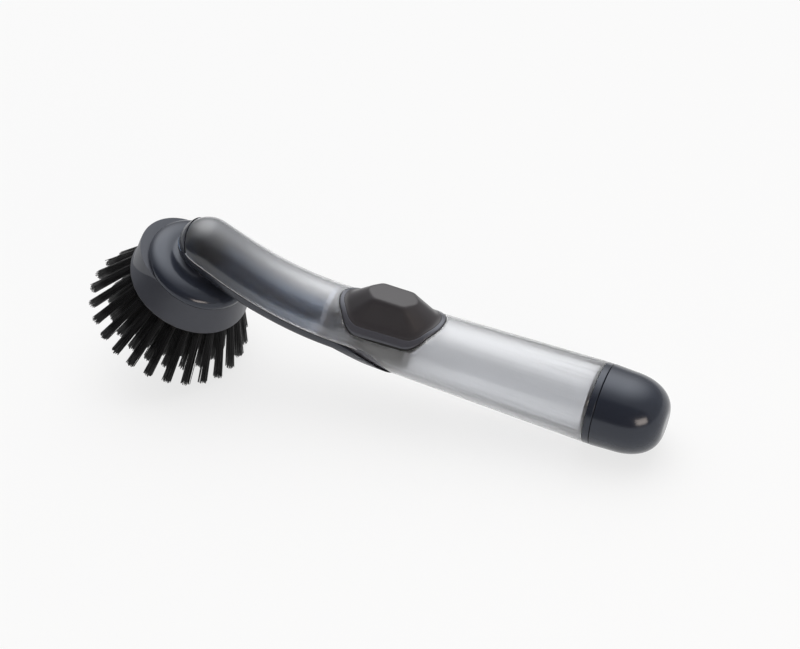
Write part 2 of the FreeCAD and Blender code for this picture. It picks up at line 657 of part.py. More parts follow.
def ring_seal():
    """O-ring between the tube's end and a groove in the face of the end ring."""
    place = Vector(FIT + RING_SEAL_SECTION, 0, 0)
    return Part.makeTorus(tube_radius(0) - WALL / 2, RING_SEAL_SECTION, place, Vector(1, 0, 0))


def cap_seal():
    """Flat washer between the filler mouth and the cap."""
    place = Vector(MOUTH_X + FIT, 0, 0)
    washer = Part.makeCylinder(MOUTH_RADIUS, CAP_SEAL_HEIGHT, place, Vector(1, 0, 0))
    return washer.cut(Part.makeCylinder(MOUTH_BORE, CAP_SEAL_HEIGHT, place, Vector(1, 0, 0)))


def cap_outline():
    """Outer profile of the cap as moves from its open edge to the centre of its flat end."""
    shoulder = CAP_X + CAP_STRAIGHT
    end = CAP_X + CAP_LENGTH
    return [
        (CAP_X, CAP_RADIUS),
        (shoulder, CAP_SHOULDER_RADIUS),
        ((shoulder + CAP_SHOULDER_HANDLE, CAP_SHOULDER_RADIUS), (end, CAP_FLAT_RADIUS + CAP_END_HANDLE),
         (end, CAP_FLAT_RADIUS)),
        (end, 0),
    ]


def end_cap():
    """Rounded screw cap: thread bore, seal shoulder, cored wall and hollow end."""
    shoulder = MOUTH_X + CAP_SEAL_HEIGHT + 2 * FIT
    bore = MOUTH_RADIUS + CAP_THREAD_GAP
    core = bore + CAP_SLEEVE_WALL
    core_end = CAP_X + CAP_CORE_DEPTH
    hollow_end = CAP_X + CAP_LENGTH - CAP_WALL
    hollow_side = hollow_end - CAP_END_HANDLE
    start, *moves = cap_outline()
    face = profile(
        start,
        *moves,
        (hollow_end, 0),
        (hollow_end, CAP_FLAT_RADIUS),
        (hollow_side, MOUTH_BORE),
        (shoulder, MOUTH_BORE),
        (shoulder, bore),
        (CAP_X, bore),
        (CAP_X, core),
        (core_end, core),
        (core_end, core + CAP_CORE_WIDTH),
        (CAP_X, core + CAP_CORE_WIDTH),
    )
    return turned(face, Vector(1, 0, 0))


def on_head(shape):
    """Moves a shape from the head's axes to the wand's."""
    shape.Placement = Placement(HEAD_ORIGIN, Rotation(Vector(0, 1, 0), HEAD_PITCH)).multiply(shape.Placement)
    return shape


def finger_tab():
    """Rounded tab at the front of the collar, drawn to the collar's top circle by tangents."""
    nose_radius = TAB_REACH - TAB_CENTRE
    lean = math.degrees(math.acos((COLLAR_TOP_RADIUS - nose_radius) / TAB_CENTRE))
    points = []
    for centre, radius, angle in (
        (0, COLLAR_TOP_RADIUS, 180 - lean),
        (-TAB_CENTRE, nose_radius, 180 - lean),
        (-TAB_CENTRE, nose_radius, 180),
        (-TAB_CENTRE, nose_radius, 180 + lean),
        (0, COLLAR_TOP_RADIUS, 180 + lean),
    ):
        points.append(Vector(*polar((centre, 0), radius, angle), -COLLAR_HEIGHT))
    wire = Part.Wire([
        Part.LineSegment(points[0], points[1]).toShape(),
        Part.Arc(points[1], points[2], points[3]).toShape(),
        Part.LineSegment(points[3], points[4]).toShape(),
        Part.LineSegment(points[4], points[0]).toShape(),
    ])
    tab = Part.Face(wire).extrude(Vector(0, 0, COLLAR_HEIGHT))
    limit = Part.makeCone(COLLAR_RIM_RADIUS - RIM_ROUND, TAB_REACH, COLLAR_HEIGHT, Vector(0, 0, -COLLAR_HEIGHT))
    inner = Part.makeCylinder(CUP_RADIUS, COLLAR_HEIGHT, Vector(0, 0, -COLLAR_HEIGHT))
    return tab.common(limit).cut(inner)


def faceted(rings):
    """Closed solid with flat faces through rings of points."""
    faces = [Part.Face(Part.makePolygon(rings[0] + rings[0][:1])),
             Part.Face(Part.makePolygon(rings[-1] + rings[-1][:1]))]
    for low, high in zip(rings, rings[1:]):
        for i in range(len(low)):
            j = (i + 1) % len(low)
            faces.append(Part.Face(Part.makePolygon([low[i], low[j], high[j], high[i], low[i]])))
    return Part.Solid(Part.Shell(faces))


def tuft_axis(ring, i):
    """Root point on the plate, direction, and two cross directions of a ring's tuft."""
    angle = math.radians(360 * (i + 0.5) / ring.count)
    outward = Vector(math.cos(angle), math.sin(angle), 0)
    root = outward * ring.root + Vector(0, 0, -COLLAR_HEIGHT)
    axis = (outward * (ring.tip - ring.root) + Vector(0, 0, -ring.length)).normalize()
    side = Vector(-math.sin(angle), math.cos(angle), 0)
    return root, axis, side, axis.cross(side)


def tuft_ring(centre, side, other, radius):
    """Octagon of points round a tuft's axis."""
    points = []
    for k in range(TUFT_SIDES):
        turn = 2 * math.pi * (k + 0.5) / TUFT_SIDES
        points.append(centre + side * (radius * math.cos(turn)) + other * (radius * math.sin(turn)))
    return points


def tuft(ring, i):
    """One bundle of bristles: straight in its hole, then spreading to its tip."""
    root, axis, side, other = tuft_axis(ring, i)
    length = math.hypot(ring.tip - ring.root, ring.length)
    base = root - axis * (HOLE_DEPTH - ANCHOR_HEIGHT - FIT)
    return faceted([
        tuft_ring(base, side, other, TUFT_ROOT_RADIUS),
        tuft_ring(root, side, other, TUFT_ROOT_RADIUS),
        tuft_ring(root + axis * length, side, other, TUFT_TIP_RADIUS),
    ])


def tuft_hole(ring, i):
    """Cut for one tuft, along its axis."""
    root, axis, side, other = tuft_axis(ring, i)
    radius = TUFT_ROOT_RADIUS + HOLE_CLEARANCE
    return faceted([
        tuft_ring(root - axis * HOLE_DEPTH, side, other, radius),
        tuft_ring(root + axis * HOLE_DEPTH, side, other, radius),
    ])


def tuft_anchor(ring, i):
    """Flat wire at the bottom of a tuft's hole."""
    root, axis, side, other = tuft_axis(ring, i)
    base = root - axis * HOLE_DEPTH
    signs = ((-1, -1), (1, -1), (1, 1), (-1, 1))
    corners = [side * (a * ANCHOR_WIDTH / 2) + other * (b * ANCHOR_THICKNESS / 2) for a, b in signs]
    return faceted([[base + corner for corner in corners],
                    [base + axis * ANCHOR_HEIGHT + corner for corner in corners]])


def every_tuft(make):
    """What make returns for each tuft of the head, ring by ring."""
    return [make(ring, i) for ring in RINGS for i in range(ring.count)]


def head_base():
    """Collar, cup, socket and tuft plate in one moulding, with the finger tab in front."""
    rim = COLLAR_RIM_RADIUS
    low = -COLLAR_HEIGHT
    socket_top = -SOCKET_CLEARANCE
    face = profile(
        (OUTLET_RADIUS, low),
        (rim - RIM_ROUND, low),
        (polar((rim - RIM_ROUND, low + RIM_ROUND), RIM_ROUND, -45), (rim, low + RIM_ROUND)),
        (COLLAR_TOP_RADIUS, 0),
        (CUP_RADIUS, 0),
        (CUP_RADIUS, PLATE_TOP),
        (SOCKET_RADIUS + SOCKET_WALL, PLATE_TOP),
        (SOCKET_RADIUS + SOCKET_WALL, socket_top),
        (SOCKET_RADIUS, socket_top),
        (SOCKET_RADIUS, PLATE_TOP),
        (OUTLET_RADIUS, PLATE_TOP),
    )
    base = turned(face, Vector(0, 0, 1)).fuse(finger_tab())
    return on_head(base.cut(every_tuft(tuft_hole)))


def tufts(ring):
    """All bundles of one ring."""
    return on_head(Part.Compound([tuft(ring, i) for i in range(ring.count)]))


def tuft_anchors():
    """All flat wires of the head."""
    return on_head(Part.Compound(every_tuft(tuft_anchor)))


def resting_place(tips, cap_points):
    """Placement that lays the wand on z = 0, on its tuft tips and cap, centred along X."""
    def lowest(points, tilt):
        return min(point.z * math.cos(tilt) - point.x * math.sin(tilt) for point in points)

    low, high = 0.0, PITCH
    while high - low > TILT_STEP:
        tilt = (low + high) / 2
        if lowest(cap_points, tilt) > lowest(tips, tilt):
            low = tilt
        else:
            high = tilt
    ends = [point.x * math.cos(low) + point.z * math.sin(low) for point in tips + cap_points]
    shift = Vector(-(min(ends) + max(ends)) / 2, 0, -lowest(tips, low))
    return Placement(shift, Rotation(Vector(0, 1, 0), math.degrees(low)))


def wand_placement():
    """Resting pose worked out from the tufts' corners and the cap's profile."""
    tips = [vertex.Point for vertex in tufts(RINGS[0]).Vertexes]
    start, *moves = cap_outline()
    edge = profile(start, *moves, (CAP_X, 0)).OuterWire
    profile_points = edge.discretize(Number=2000)
    cap_points = [Vector(point.x, 0, sign * point.z) for point in profile_points for sign in (-1, 1)]
    return resting_place(tips, cap_points)


PIECES = {
    "body_shell": body_shell,
    "neck_trim": neck_trim,
    "bulb_bezel": bulb_bezel,
    "pump_bulb": pump_bulb,
    "pump_chamber": pump_chamber,
    "inlet_valve": inlet_valve,
    "outlet_valve": outlet_valve,
    "bulkhead": bulkhead,
    "soap_duct": soap_duct,
    "duct_elbow": duct_elbow,
    "head_seat": head_seat,
    "head_seal": head_seal,
    "dispensing_valve": dispensing_valve,
    "valve_retainer": valve_retainer,
    "end_ring": end_ring,
    "ring_seal": ring_seal,
    "cap_seal": cap_seal,
    "end_cap": end_cap,
    "head_base": head_base,
    "tuft_anchors": tuft_anchors,
}


def main():
    """Builds every piece, lays the wand down and writes one file to each node."""
    os.makedirs("parts", exist_ok=True)
    rest = wand_placement()
    shapes = {node: make() for node, make in PIECES.items()}
    shapes.update({ring.node: tufts(ring) for ring in RINGS})
    for node, shape in shapes.items():
        shape.Placement = rest.multiply(shape.Placement)
        shape.exportStep(f"parts/{node}.step")
        print(node, len(shape.Solids), "solids", round(shape.Volume, 1), "mm3", shape.isValid())


if __name__ == "__main__":
    main()
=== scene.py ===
"""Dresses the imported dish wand: finishes, bristles, rounded mouldings, studio light and camera."""

import json
import logging
import math
from dataclasses import dataclass
from enum import Enum
from typing import Any, Callable, Sequence

import bmesh
import bpy
from mathutils import Matrix, Vector


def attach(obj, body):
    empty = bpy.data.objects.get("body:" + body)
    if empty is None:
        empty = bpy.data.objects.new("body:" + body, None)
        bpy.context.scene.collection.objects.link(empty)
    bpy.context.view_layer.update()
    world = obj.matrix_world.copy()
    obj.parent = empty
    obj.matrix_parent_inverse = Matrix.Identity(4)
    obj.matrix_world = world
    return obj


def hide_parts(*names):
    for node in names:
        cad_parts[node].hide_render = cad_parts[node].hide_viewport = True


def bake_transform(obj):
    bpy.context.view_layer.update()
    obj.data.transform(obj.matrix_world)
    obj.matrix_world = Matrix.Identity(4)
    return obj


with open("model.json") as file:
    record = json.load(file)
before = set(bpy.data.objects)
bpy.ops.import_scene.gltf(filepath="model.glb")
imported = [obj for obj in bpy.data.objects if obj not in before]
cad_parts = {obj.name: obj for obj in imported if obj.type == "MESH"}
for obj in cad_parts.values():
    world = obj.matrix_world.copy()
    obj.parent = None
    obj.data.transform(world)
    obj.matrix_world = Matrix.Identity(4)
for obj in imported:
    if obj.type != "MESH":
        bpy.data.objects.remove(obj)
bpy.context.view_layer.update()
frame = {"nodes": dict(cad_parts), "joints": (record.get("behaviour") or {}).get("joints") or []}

MM = 0.001
log = logging.getLogger("dish_wand")

Point2 = tuple[float, float]
Point3 = tuple[float, float, float]
Corner = tuple[float, float, float]
Colour = tuple[float, float, float]
Looks = dict[str, bpy.types.Material]


class Body(Enum):
    """The bodies that the pieces ride on."""

    WAND = "wand"
    BULB = "bulb"
    CAP = "cap"
    HEAD = "brush_head"


class Slot(Enum):
    """The record's material slots, passed with the pieces."""

    SMOKY = "smoky_clear"
    GRAPHITE = "graphite"
    SILICONE = "silicone"
    BRISTLE = "bristle"


@dataclass(frozen=True)
class HandleForm:
    """Main sizes of the handle and neck, in millimetres and degrees, as in the part's source."""

    tube_length: float = 112.0
    end_radius: float = 17.3
    neck_radius: float = 14.5
    pitch: float = 24.0
    bend_radius: float = 135.0
    neck_run: float = 11.5
    nose_radius: float = 12.7
    seat_drop: float = 13.5
    seat_setback: float = 1.0
    cap_end: float = 30.4

    def tube_radius(self, x: float) -> float:
        """Outer radius of the tapered tube at a place along it."""
        return self.end_radius + (self.end_radius - self.neck_radius) * x / self.tube_length

    def neck_height(self, x: float, z: float) -> float:
        """Height over the neck's middle line.

        Args:
            x: Place along the tube.
            z: Height over the tube's axis.

        Returns:
            The height as a share of the nose's radius.
        """
        pitch = math.radians(self.pitch)
        bend = self.bend_radius * math.sin(pitch)
        past = -x - self.tube_length
        turn = math.asin(min(max(past, 0.0), bend) / self.bend_radius)
        middle = self.bend_radius * (1 - math.cos(turn)) + max(past - bend, 0.0) * math.tan(pitch)
        return (z - middle) * math.cos(turn) / self.nose_radius

    def neck_axes(self) -> tuple[Vector, Vector]:
        """Directions along the neck's straight end and up from it."""
        cos, sin = math.cos(math.radians(self.pitch)), math.sin(math.radians(self.pitch))
        return Vector((-cos, 0.0, sin)), Vector((sin, 0.0, cos))

    def bend_spine(self, turn: float) -> Vector:
        """Place on the bend's middle line, at an angle in radians past the tube's end."""
        rise = self.bend_radius * (1 - math.cos(turn))
        return Vector((-self.tube_length - self.bend_radius * math.sin(turn), 0.0, rise))

    def nose_centre(self) -> Vector:
        """Middle of the round nose."""
        return self.bend_spine(math.radians(self.pitch)) + self.neck_axes()[0] * self.neck_run

    def head_place(self) -> Matrix:
        """Place of the brush head's axes.

        Returns:
            From the head's axes to the wand's.
        """
        run, rise = self.neck_axes()
        origin = self.nose_centre() - run * self.seat_setback - rise * self.seat_drop
        return Matrix.Translation(origin) @ Matrix.Rotation(math.radians(self.pitch), 4, "Y")


@dataclass(frozen=True)
class WandAxes:
    """Places of the wand's and the head's own axes in the row frame, from millimetres to metres."""

    wand: Matrix
    head: Matrix
    tube: Matrix

    @classmethod
    def from_joints(cls, joints: Sequence[dict[str, Any]], form: HandleForm) -> "WandAxes":
        """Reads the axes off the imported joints.

        Args:
            joints: The record's joints.
            form: The handle's sizes.

        Returns:
            The axes. The tube's have Z along the tube, towards the cap.
        """
        named = {joint["name"]: joint for joint in joints}
        along = Vector(named["cap_turn"]["axis"]).normalized()
        up = -Vector(named["bulb_press"]["axis"]).normalized()
        across = up.cross(along)
        turn = Matrix((along, across, up)).transposed().to_4x4()
        origin = Vector(named["cap_turn"]["pos_m"]) - along * form.cap_end * MM
        wand = Matrix.Translation(origin) @ turn @ Matrix.Scale(MM, 4)
        tube = wand @ Matrix.Rotation(math.radians(90), 4, "Y")
        return cls(wand, wand @ form.head_place(), tube)


FORM = HandleForm()
AXES = WandAxes.from_joints(frame["joints"], FORM)

# How much of a side a rounding may take, and how far past it a point keeps the side flat.
SIDE_SHARE = 0.45
FLAT_KEEP = 1.5
TINY = 1e-6

# Merging distances, in millimetres for a new mesh and in metres for a solid's loose triangles.
MERGE_NEW = 1e-5
MERGE_SOLID = 2e-6

# Angles in degrees: what counts as flat, as smooth and as an edge to round.
FLAT_ANGLE = 0.4
SMOOTH_ANGLE = 35.0
BEVEL_ANGLE = 40.0


def rounded(corners: Sequence[Corner], arc_steps: int = 5) -> list[Point2]:
    """Closed outline with its corners rounded.

    Args:
        corners: Points as (along, radius, rounding).
        arc_steps: Steps of each rounding.

    Returns:
        The outline's points, with a close point each side of a rounding to keep its sides flat.
    """
    points: list[Point2] = []
    for i, (along, radius, rounding) in enumerate(corners):
        here = Vector((along, radius))
        back = Vector(corners[i - 1][:2]) - here
        ahead = Vector(corners[(i + 1) % len(corners)][:2]) - here
        if rounding <= 0 or min(back.length, ahead.length) < TINY:
            points.append((along, radius))
            continue
        half = back.angle(ahead) / 2
        reach = min(rounding / math.tan(half), SIDE_SHARE * back.length, SIDE_SHARE * ahead.length)
        size = reach * math.tan(half)
        back.normalize()
        ahead.normalize()
        centre = here + (back + ahead).normalized() * (size / math.sin(half))
        first = here + back * reach - centre
        last = here + ahead * reach - centre
        sweep = first.angle_signed(last)
        points.append(tuple(here + back * reach * FLAT_KEEP))
        for step in range(arc_steps + 1):
            spoke = first.copy()
            spoke.rotate(Matrix.Rotation(-sweep * step / arc_steps, 2))
            points.append(tuple(centre + spoke))
        points.append(tuple(here + ahead * reach * FLAT_KEEP))
    return points


def eased(share: float) -> float:
    """A share from 0 to 1 with soft ends."""
    share = min(max(share, 0.0), 1.0)
    return share * share * (3.0 - 2.0 * share)


def bezier(start: Point2, first: Point2, second: Point2, end: Point2, steps: int) -> list[Corner]:
    """Points of a cubic curve.

    Args:
        start: Where it starts.
        first: Handle of the start.
        second: Handle of the end.
        end: Where it ends.
        steps: Steps along it.

    Returns:
        The points without the first, as corners that stay as they are.
    """
    corners = []
    for step in range(1, steps + 1):
        t = step / steps
        weights = ((1 - t) ** 3, 3 * t * (1 - t) ** 2, 3 * t * t * (1 - t), t ** 3)
        spots = (start, first, second, end)
        corners.append((sum(w * p[0] for w, p in zip(weights, spots)),
                        sum(w * p[1] for w, p in zip(weights, spots)), 0.0))
    return corners


def add_object(name: str, mesh: bpy.types.ID) -> bpy.types.Object:
    """Links a mesh or a curve to the scene as an object at the origin.

    Args:
        name: The object's name.
        mesh: The mesh or curve.

    Returns:
        The new object.
    """
    piece = bpy.data.objects.new(name, mesh)
    bpy.context.scene.collection.objects.link(piece)
    return piece


def smooth(mesh: bpy.types.Mesh) -> None:
    """Shades a mesh smooth, with hard edges where faces meet at a wide angle."""
    mesh.shade_smooth()
    mesh.set_sharp_from_angle(angle=math.radians(SMOOTH_ANGLE))


def mesh_from(name: str, build: Callable[[bmesh.types.BMesh], None], place: Matrix) -> bpy.types.Mesh:
    """Mesh built in local axes and put in its place in the row frame.

    Args:
        name: The mesh's name.
        build: Fills a bmesh.
        place: From the local axes to the row frame.

    Returns:
        The mesh, closed and with its faces outwards.
    """
    work = bmesh.new()
    build(work)
    bmesh.ops.remove_doubles(work, verts=work.verts, dist=MERGE_NEW)
    bmesh.ops.transform(work, matrix=place, verts=work.verts)
    bmesh.ops.recalc_face_normals(work, faces=work.faces)
    mesh = bpy.data.meshes.new(name)
    work.to_mesh(mesh)
    work.free()
    smooth(mesh)
    return mesh


def lathe(name: str, outline: Sequence[Point2], place: Matrix, steps: int = 144) -> bpy.types.Object:
    """Piece turned from a closed outline of (along, radius) points about the local Z axis.

    Args:
        name: The piece's name.
        outline: The outline's points. A radius of 0 makes a pole.
        place: From the local axes to the row frame.
        steps: Steps of a turn.

    Returns:
        The new object.
    """
    def build(work: bmesh.types.BMesh) -> None:
        """Turns the outline ring by ring.

        Args:
            work: The mesh to fill.
        """
        rings = []
        for along, radius in outline:
            if radius < TINY:
                rings.append([work.verts.new((0.0, 0.0, along))])
                continue
            turns = (2 * math.pi * k / steps for k in range(steps))
            rings.append([work.verts.new((radius * math.cos(t), radius * math.sin(t), along)) for t in turns])
        for ring, following in zip(rings, rings[1:] + rings[:1]):
            bridge(work, ring, following)

    return add_object(name, mesh_from(name, build, place))


def bridge(work: bmesh.types.BMesh, ring: Sequence[Any], following: Sequence[Any]) -> None:
    """Joins two rings of points by faces.

    Args:
        work: The mesh.
        ring: One ring. A ring of one point is a pole.
        following: The next ring.
    """
    count = max(len(ring), len(following))
    if count == 1:
        return
    for k in range(count):
        n = (k + 1) % count
        loop = (ring[k % len(ring)], ring[n % len(ring)],
                following[n % len(following)], following[k % len(following)])
        work.faces.new(list(dict.fromkeys(loop)))


def settle(piece: bpy.types.Object, body: Body, slot: Slot, finish: bpy.types.Material, *nodes: str) -> None:
    """Dresses a piece, rides it on its body and lets it stand for its nodes.

    Args:
        piece: The piece.
        body: The body it moves with.
        slot: The record's material slot. Not used.
        finish: Its material.
        nodes: CAD nodes that it replaces.
    """
    piece.data.materials.clear()
    piece.data.materials.append(finish)
    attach(piece, body.value)
    if nodes:
        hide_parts(*nodes)
    log.info("%s rides on %s, %d faces", piece.name, body.value, len(piece.data.polygons))


def dress_node(node: str, finish: bpy.types.Material) -> None:
    """Gives a CAD node that stays a better material.

    Args:
        node: The node.
        finish: Its material.
    """
    mesh = frame["nodes"][node].data
    for i in range(max(len(mesh.materials), 1)):
        if mesh.materials:
            mesh.materials[i] = finish
        else:
            mesh.materials.append(finish)
    log.info("%s keeps its solid, %d faces", node, len(mesh.polygons))


def softened(node: str, name: str, width: float, steps: int = 2) -> bpy.types.Object:
    """Copy of a CAD node with its hard edges rounded.

    Args:
        node: The CAD node.
        name: The copy's name.
        width: Width of the rounding in millimetres.
        steps: Steps of the rounding.

    Returns:
        The new object.
    """
    work = bmesh.new()
    work.from_mesh(frame["nodes"][node].data)
    bmesh.ops.remove_doubles(work, verts=work.verts, dist=MERGE_SOLID)
    bmesh.ops.dissolve_limit(work, angle_limit=math.radians(FLAT_ANGLE), verts=work.verts, edges=work.edges)
    mesh = bpy.data.meshes.new(name)
    work.to_mesh(mesh)
    work.free()
    smooth(mesh)
    piece = add_object(name, mesh)
    bevel = piece.modifiers.new("edge_round", "BEVEL")
    bevel.width = width * MM
    bevel.segments = steps
    bevel.limit_method = "ANGLE"
    bevel.angle_limit = math.radians(BEVEL_ANGLE)
    bevel.use_clamp_overlap = False
    bevel.harden_normals = True
    made = plain_mesh(piece)
    made.name = name
    piece.modifiers.clear()
    piece.data = made
    return piece


def plain_mesh(piece: bpy.types.Object) -> bpy.types.Mesh:
    """What a piece's modifiers make, as a plain mesh.

    Args:
        piece: The piece with its modifiers.

    Returns:
        The new mesh.
    """
    graph = bpy.context.evaluated_depsgraph_get()
    shown = piece.evaluated_get(graph)
    return bpy.data.meshes.new_from_object(shown, preserve_all_data_layers=True, depsgraph=graph)


def grown(name: str, group: bpy.types.NodeTree, values: dict[str, Any], place: Matrix,
          line: Sequence[Vector] = ()) -> bpy.types.Object:
    """Piece that a geometry node tree grows, as a plain mesh.

    Args:
        name: The piece's name.
        group: The tree.
        values: The tree's inputs by name.
        place: From the tree's axes to the row frame.
        line: Points of the line that it follows, for a tree that takes one.

    Returns:
        The new object.
    """
    path = bpy.data.curves.new(name, "CURVE")
    path.dimensions = "3D"
    if line:
        spline = path.splines.new("POLY")
        spline.points.add(len(line) - 1)
        for point, spot in zip(spline.points, line):
            point.co = (*spot, 1.0)
    seed = add_object(name + "_line", path)
    modifier = seed.modifiers.new("grow", "NODES")
    modifier.node_group = group
    for item in group.interface.items_tree:
        if item.in_out == "INPUT" and item.name in values:
            modifier[item.identifier] = values[item.name]
    made = plain_mesh(seed)
    made.name = name
    made.transform(place)
    bpy.data.objects.remove(seed)
    return add_object(name, made)


class Socket(Enum):
    """Kinds of node group socket."""

    FLOAT = "NodeSocketFloat"
    INT = "NodeSocketInt"
    COLOUR = "NodeSocketColor"
    GEOMETRY = "NodeSocketGeometry"
    MATERIAL = "NodeSocketMaterial"


class Tree:
    """A node tree under construction, with short ways to add and join nodes."""

    def __init__(self, nodes_of: Any) -> None:
        """Keeps the tree."""
        self.tree = nodes_of

    @classmethod
    def blank(cls, owner: Any) -> "Tree":
        """Empty tree of a material or a world.

        Args:
            owner: The material or world.

        Returns:
            Its tree, with no nodes.
        """
        owner.use_nodes = True
        owner.node_tree.nodes.clear()
        return cls(owner.node_tree)

    @classmethod
    def grower(cls, name: str, sizes: Sequence[str], counts: Sequence[str] = ()) -> "Tree":
        """Starts a geometry node tree.

        Args:
            name: The tree's name.
            sizes: Names of its inputs for sizes.
            counts: Names of its inputs for counts.

        Returns:
            The tree, with these inputs and those for a line and a finish.
        """
        made = cls(bpy.data.node_groups.new(name, "GeometryNodeTree"))
        made.socket("Geometry", Socket.GEOMETRY)
        made.socket("Geometry", Socket.GEOMETRY, output=True)
        for count in counts:
            made.socket(count, Socket.INT, value=1)
        for size in sizes:
            made.socket(size, Socket.FLOAT, value=1.0)
        made.socket("Material", Socket.MATERIAL)
        return made

    def rod(self, line: Any, sides: int, radius: Any, share: Any = 1.0) -> Any:
        """Closed round rod along a curve.

        Args:
            line: Output that gives the curve.
            sides: Sides of the rod.
            radius: Its radius.
            share: Share of the radius at each point.

        Returns:
            The output that gives the mesh.
        """
        section = self.add("GeometryNodeCurvePrimitiveCircle", {"Resolution": sides, "Radius": radius})
        given = {"Curve": line, "Profile Curve": section.outputs[0], "Scale": share, "Fill Caps": True}
        return self.add("GeometryNodeCurveToMesh", given).outputs[0]

    def end(self, grown_mesh: Any, finish: Any) -> None:
        """Ends a geometry node tree with one plain mesh of one finish.

        Args:
            grown_mesh: Output that gives the mesh.
            finish: Output that gives the finish.
        """
        whole = self.add("GeometryNodeRealizeInstances", {"Geometry": grown_mesh}).outputs[0]
        dressed = self.add("GeometryNodeSetMaterial", {"Geometry": whole, "Material": finish}).outputs[0]
        self.add("NodeGroupOutput", {"Geometry": dressed})

    def add(self, kind: str, values: dict[Any, Any] | None = None, **settings: Any) -> Any:
        """Adds a node.

        Args:
            kind: The node's type name.
            values: Value or output socket for each input, by number, identifier or name.
            settings: Properties of the node.

        Returns:
            The node.
        """
        node = self.tree.nodes.new(kind)
        for name, value in settings.items():
            setattr(node, name, value)
        for key, value in (values or {}).items():
            self.feed(self.entry(node, key), value)
        return node

    @staticmethod
    def entry(node: Any, key: Any) -> Any:
        """Finds an input of a node.

        Args:
            node: The node.
            key: The input's number, identifier or name.

        Returns:
            The input's socket.
        """
        for socket in () if isinstance(key, int) else node.inputs:
            if socket.identifier == key:
                return socket
        return node.inputs[key]

    def feed(self, socket: Any, value: Any) -> None:
        """Sets a socket's value or links an output to it.

        Args:
            socket: The socket.
            value: The value or the output.
        """
        if isinstance(value, bpy.types.NodeSocket):
            self.tree.links.new(value, socket)
        else:
            socket.default_value = value

    def math(self, operation: str, *values: Any) -> Any:
        """Output of a Math node."""
        return self.add("ShaderNodeMath", dict(enumerate(values)), operation=operation).outputs[0]

    def vector(self, operation: str, *values: Any) -> Any:
        """Vector output of a Vector Math node."""
        return self.add("ShaderNodeVectorMath", dict(enumerate(values)), operation=operation).outputs[0]

    def scaled(self, vector: Any, factor: Any) -> Any:
        """A vector times a number."""
        return self.add("ShaderNodeVectorMath", {0: vector, "Scale": factor}, operation="SCALE").outputs[0]

    def socket(self, name: str, kind: Socket, output: bool = False, value: Any = None) -> None:
        """Adds a socket to the group's interface.

        Args:
            name: The socket's name.
            kind: What it carries.
            output: Whether it is an output.
            value: Its value where nothing feeds it.
        """
        side = "OUTPUT" if output else "INPUT"
        made = self.tree.interface.new_socket(name, in_out=side, socket_type=kind.value)
        if value is not None:
            made.default_value = value


# How dark each point is painted: painted shade on the shell, the cup's own dark tone.
TONE_AND_SHADE = "dark_tone_and_painted_shade"
COOL = (0.86, 0.91, 1.0)

# Scales of the tone's drift and of the handling marks, the marks' stretch, and the grain's depth in metres.
DRIFT_SCALE = 38.0
MARK_SCALE = 95.0
MARK_STRETCH = (1.0, 3.2, 3.2)
MARK_ROUGHNESS = 0.62
GRAIN_DEPTH = 0.0001


def grain_group() -> bpy.types.NodeTree:
    """Shader group for moulded plastic: fine grain, soft tone drift and faint handling marks.

    Returns:
        The group, with Tone, Roughness and Height outputs.
    """
    group = bpy.data.node_groups.new("moulded_grain", "ShaderNodeTree")
    tree = Tree(group)
    tree.socket("Colour", Socket.COLOUR, value=(0.5, 0.5, 0.5, 1.0))
    tree.socket("Drift", Socket.FLOAT, value=0.06)
    tree.socket("Roughness", Socket.FLOAT, value=0.4)
    tree.socket("Marks", Socket.FLOAT, value=0.08)
    tree.socket("Grain Scale", Socket.FLOAT, value=2500.0)
    tree.socket("Tone", Socket.COLOUR, output=True)
    tree.socket("Roughness", Socket.FLOAT, output=True)
    tree.socket("Height", Socket.FLOAT, output=True)
    given = tree.add("NodeGroupInput")
    place = tree.add("ShaderNodeTexCoord").outputs["Object"]
    cloud = tree.add("ShaderNodeTexNoise", {"Vector": place, "Scale": DRIFT_SCALE, "Detail": 3.0}).outputs[0]
    stretch = tree.vector("MULTIPLY", place, MARK_STRETCH)
    marks = tree.add("ShaderNodeTexNoise", {"Vector": stretch, "Scale": MARK_SCALE, "Detail": 5.0,
                                            "Roughness": MARK_ROUGHNESS}).outputs[0]
    grain = tree.add("ShaderNodeTexNoise", {"Vector": place, "Scale": given.outputs["Grain Scale"],
                                            "Detail": 2.0}).outputs[0]
    drift = tree.math("MULTIPLY_ADD", tree.math("SUBTRACT", cloud, 0.5), given.outputs["Drift"], 1.0)
    tone = tree.scaled(given.outputs["Colour"], drift)
    smear = tree.math("MULTIPLY_ADD", tree.math("SUBTRACT", marks, 0.5), given.outputs["Marks"],
                      given.outputs["Roughness"])
    tree.add("NodeGroupOutput", {"Tone": tone, "Roughness": smear, "Height": grain})
    return group


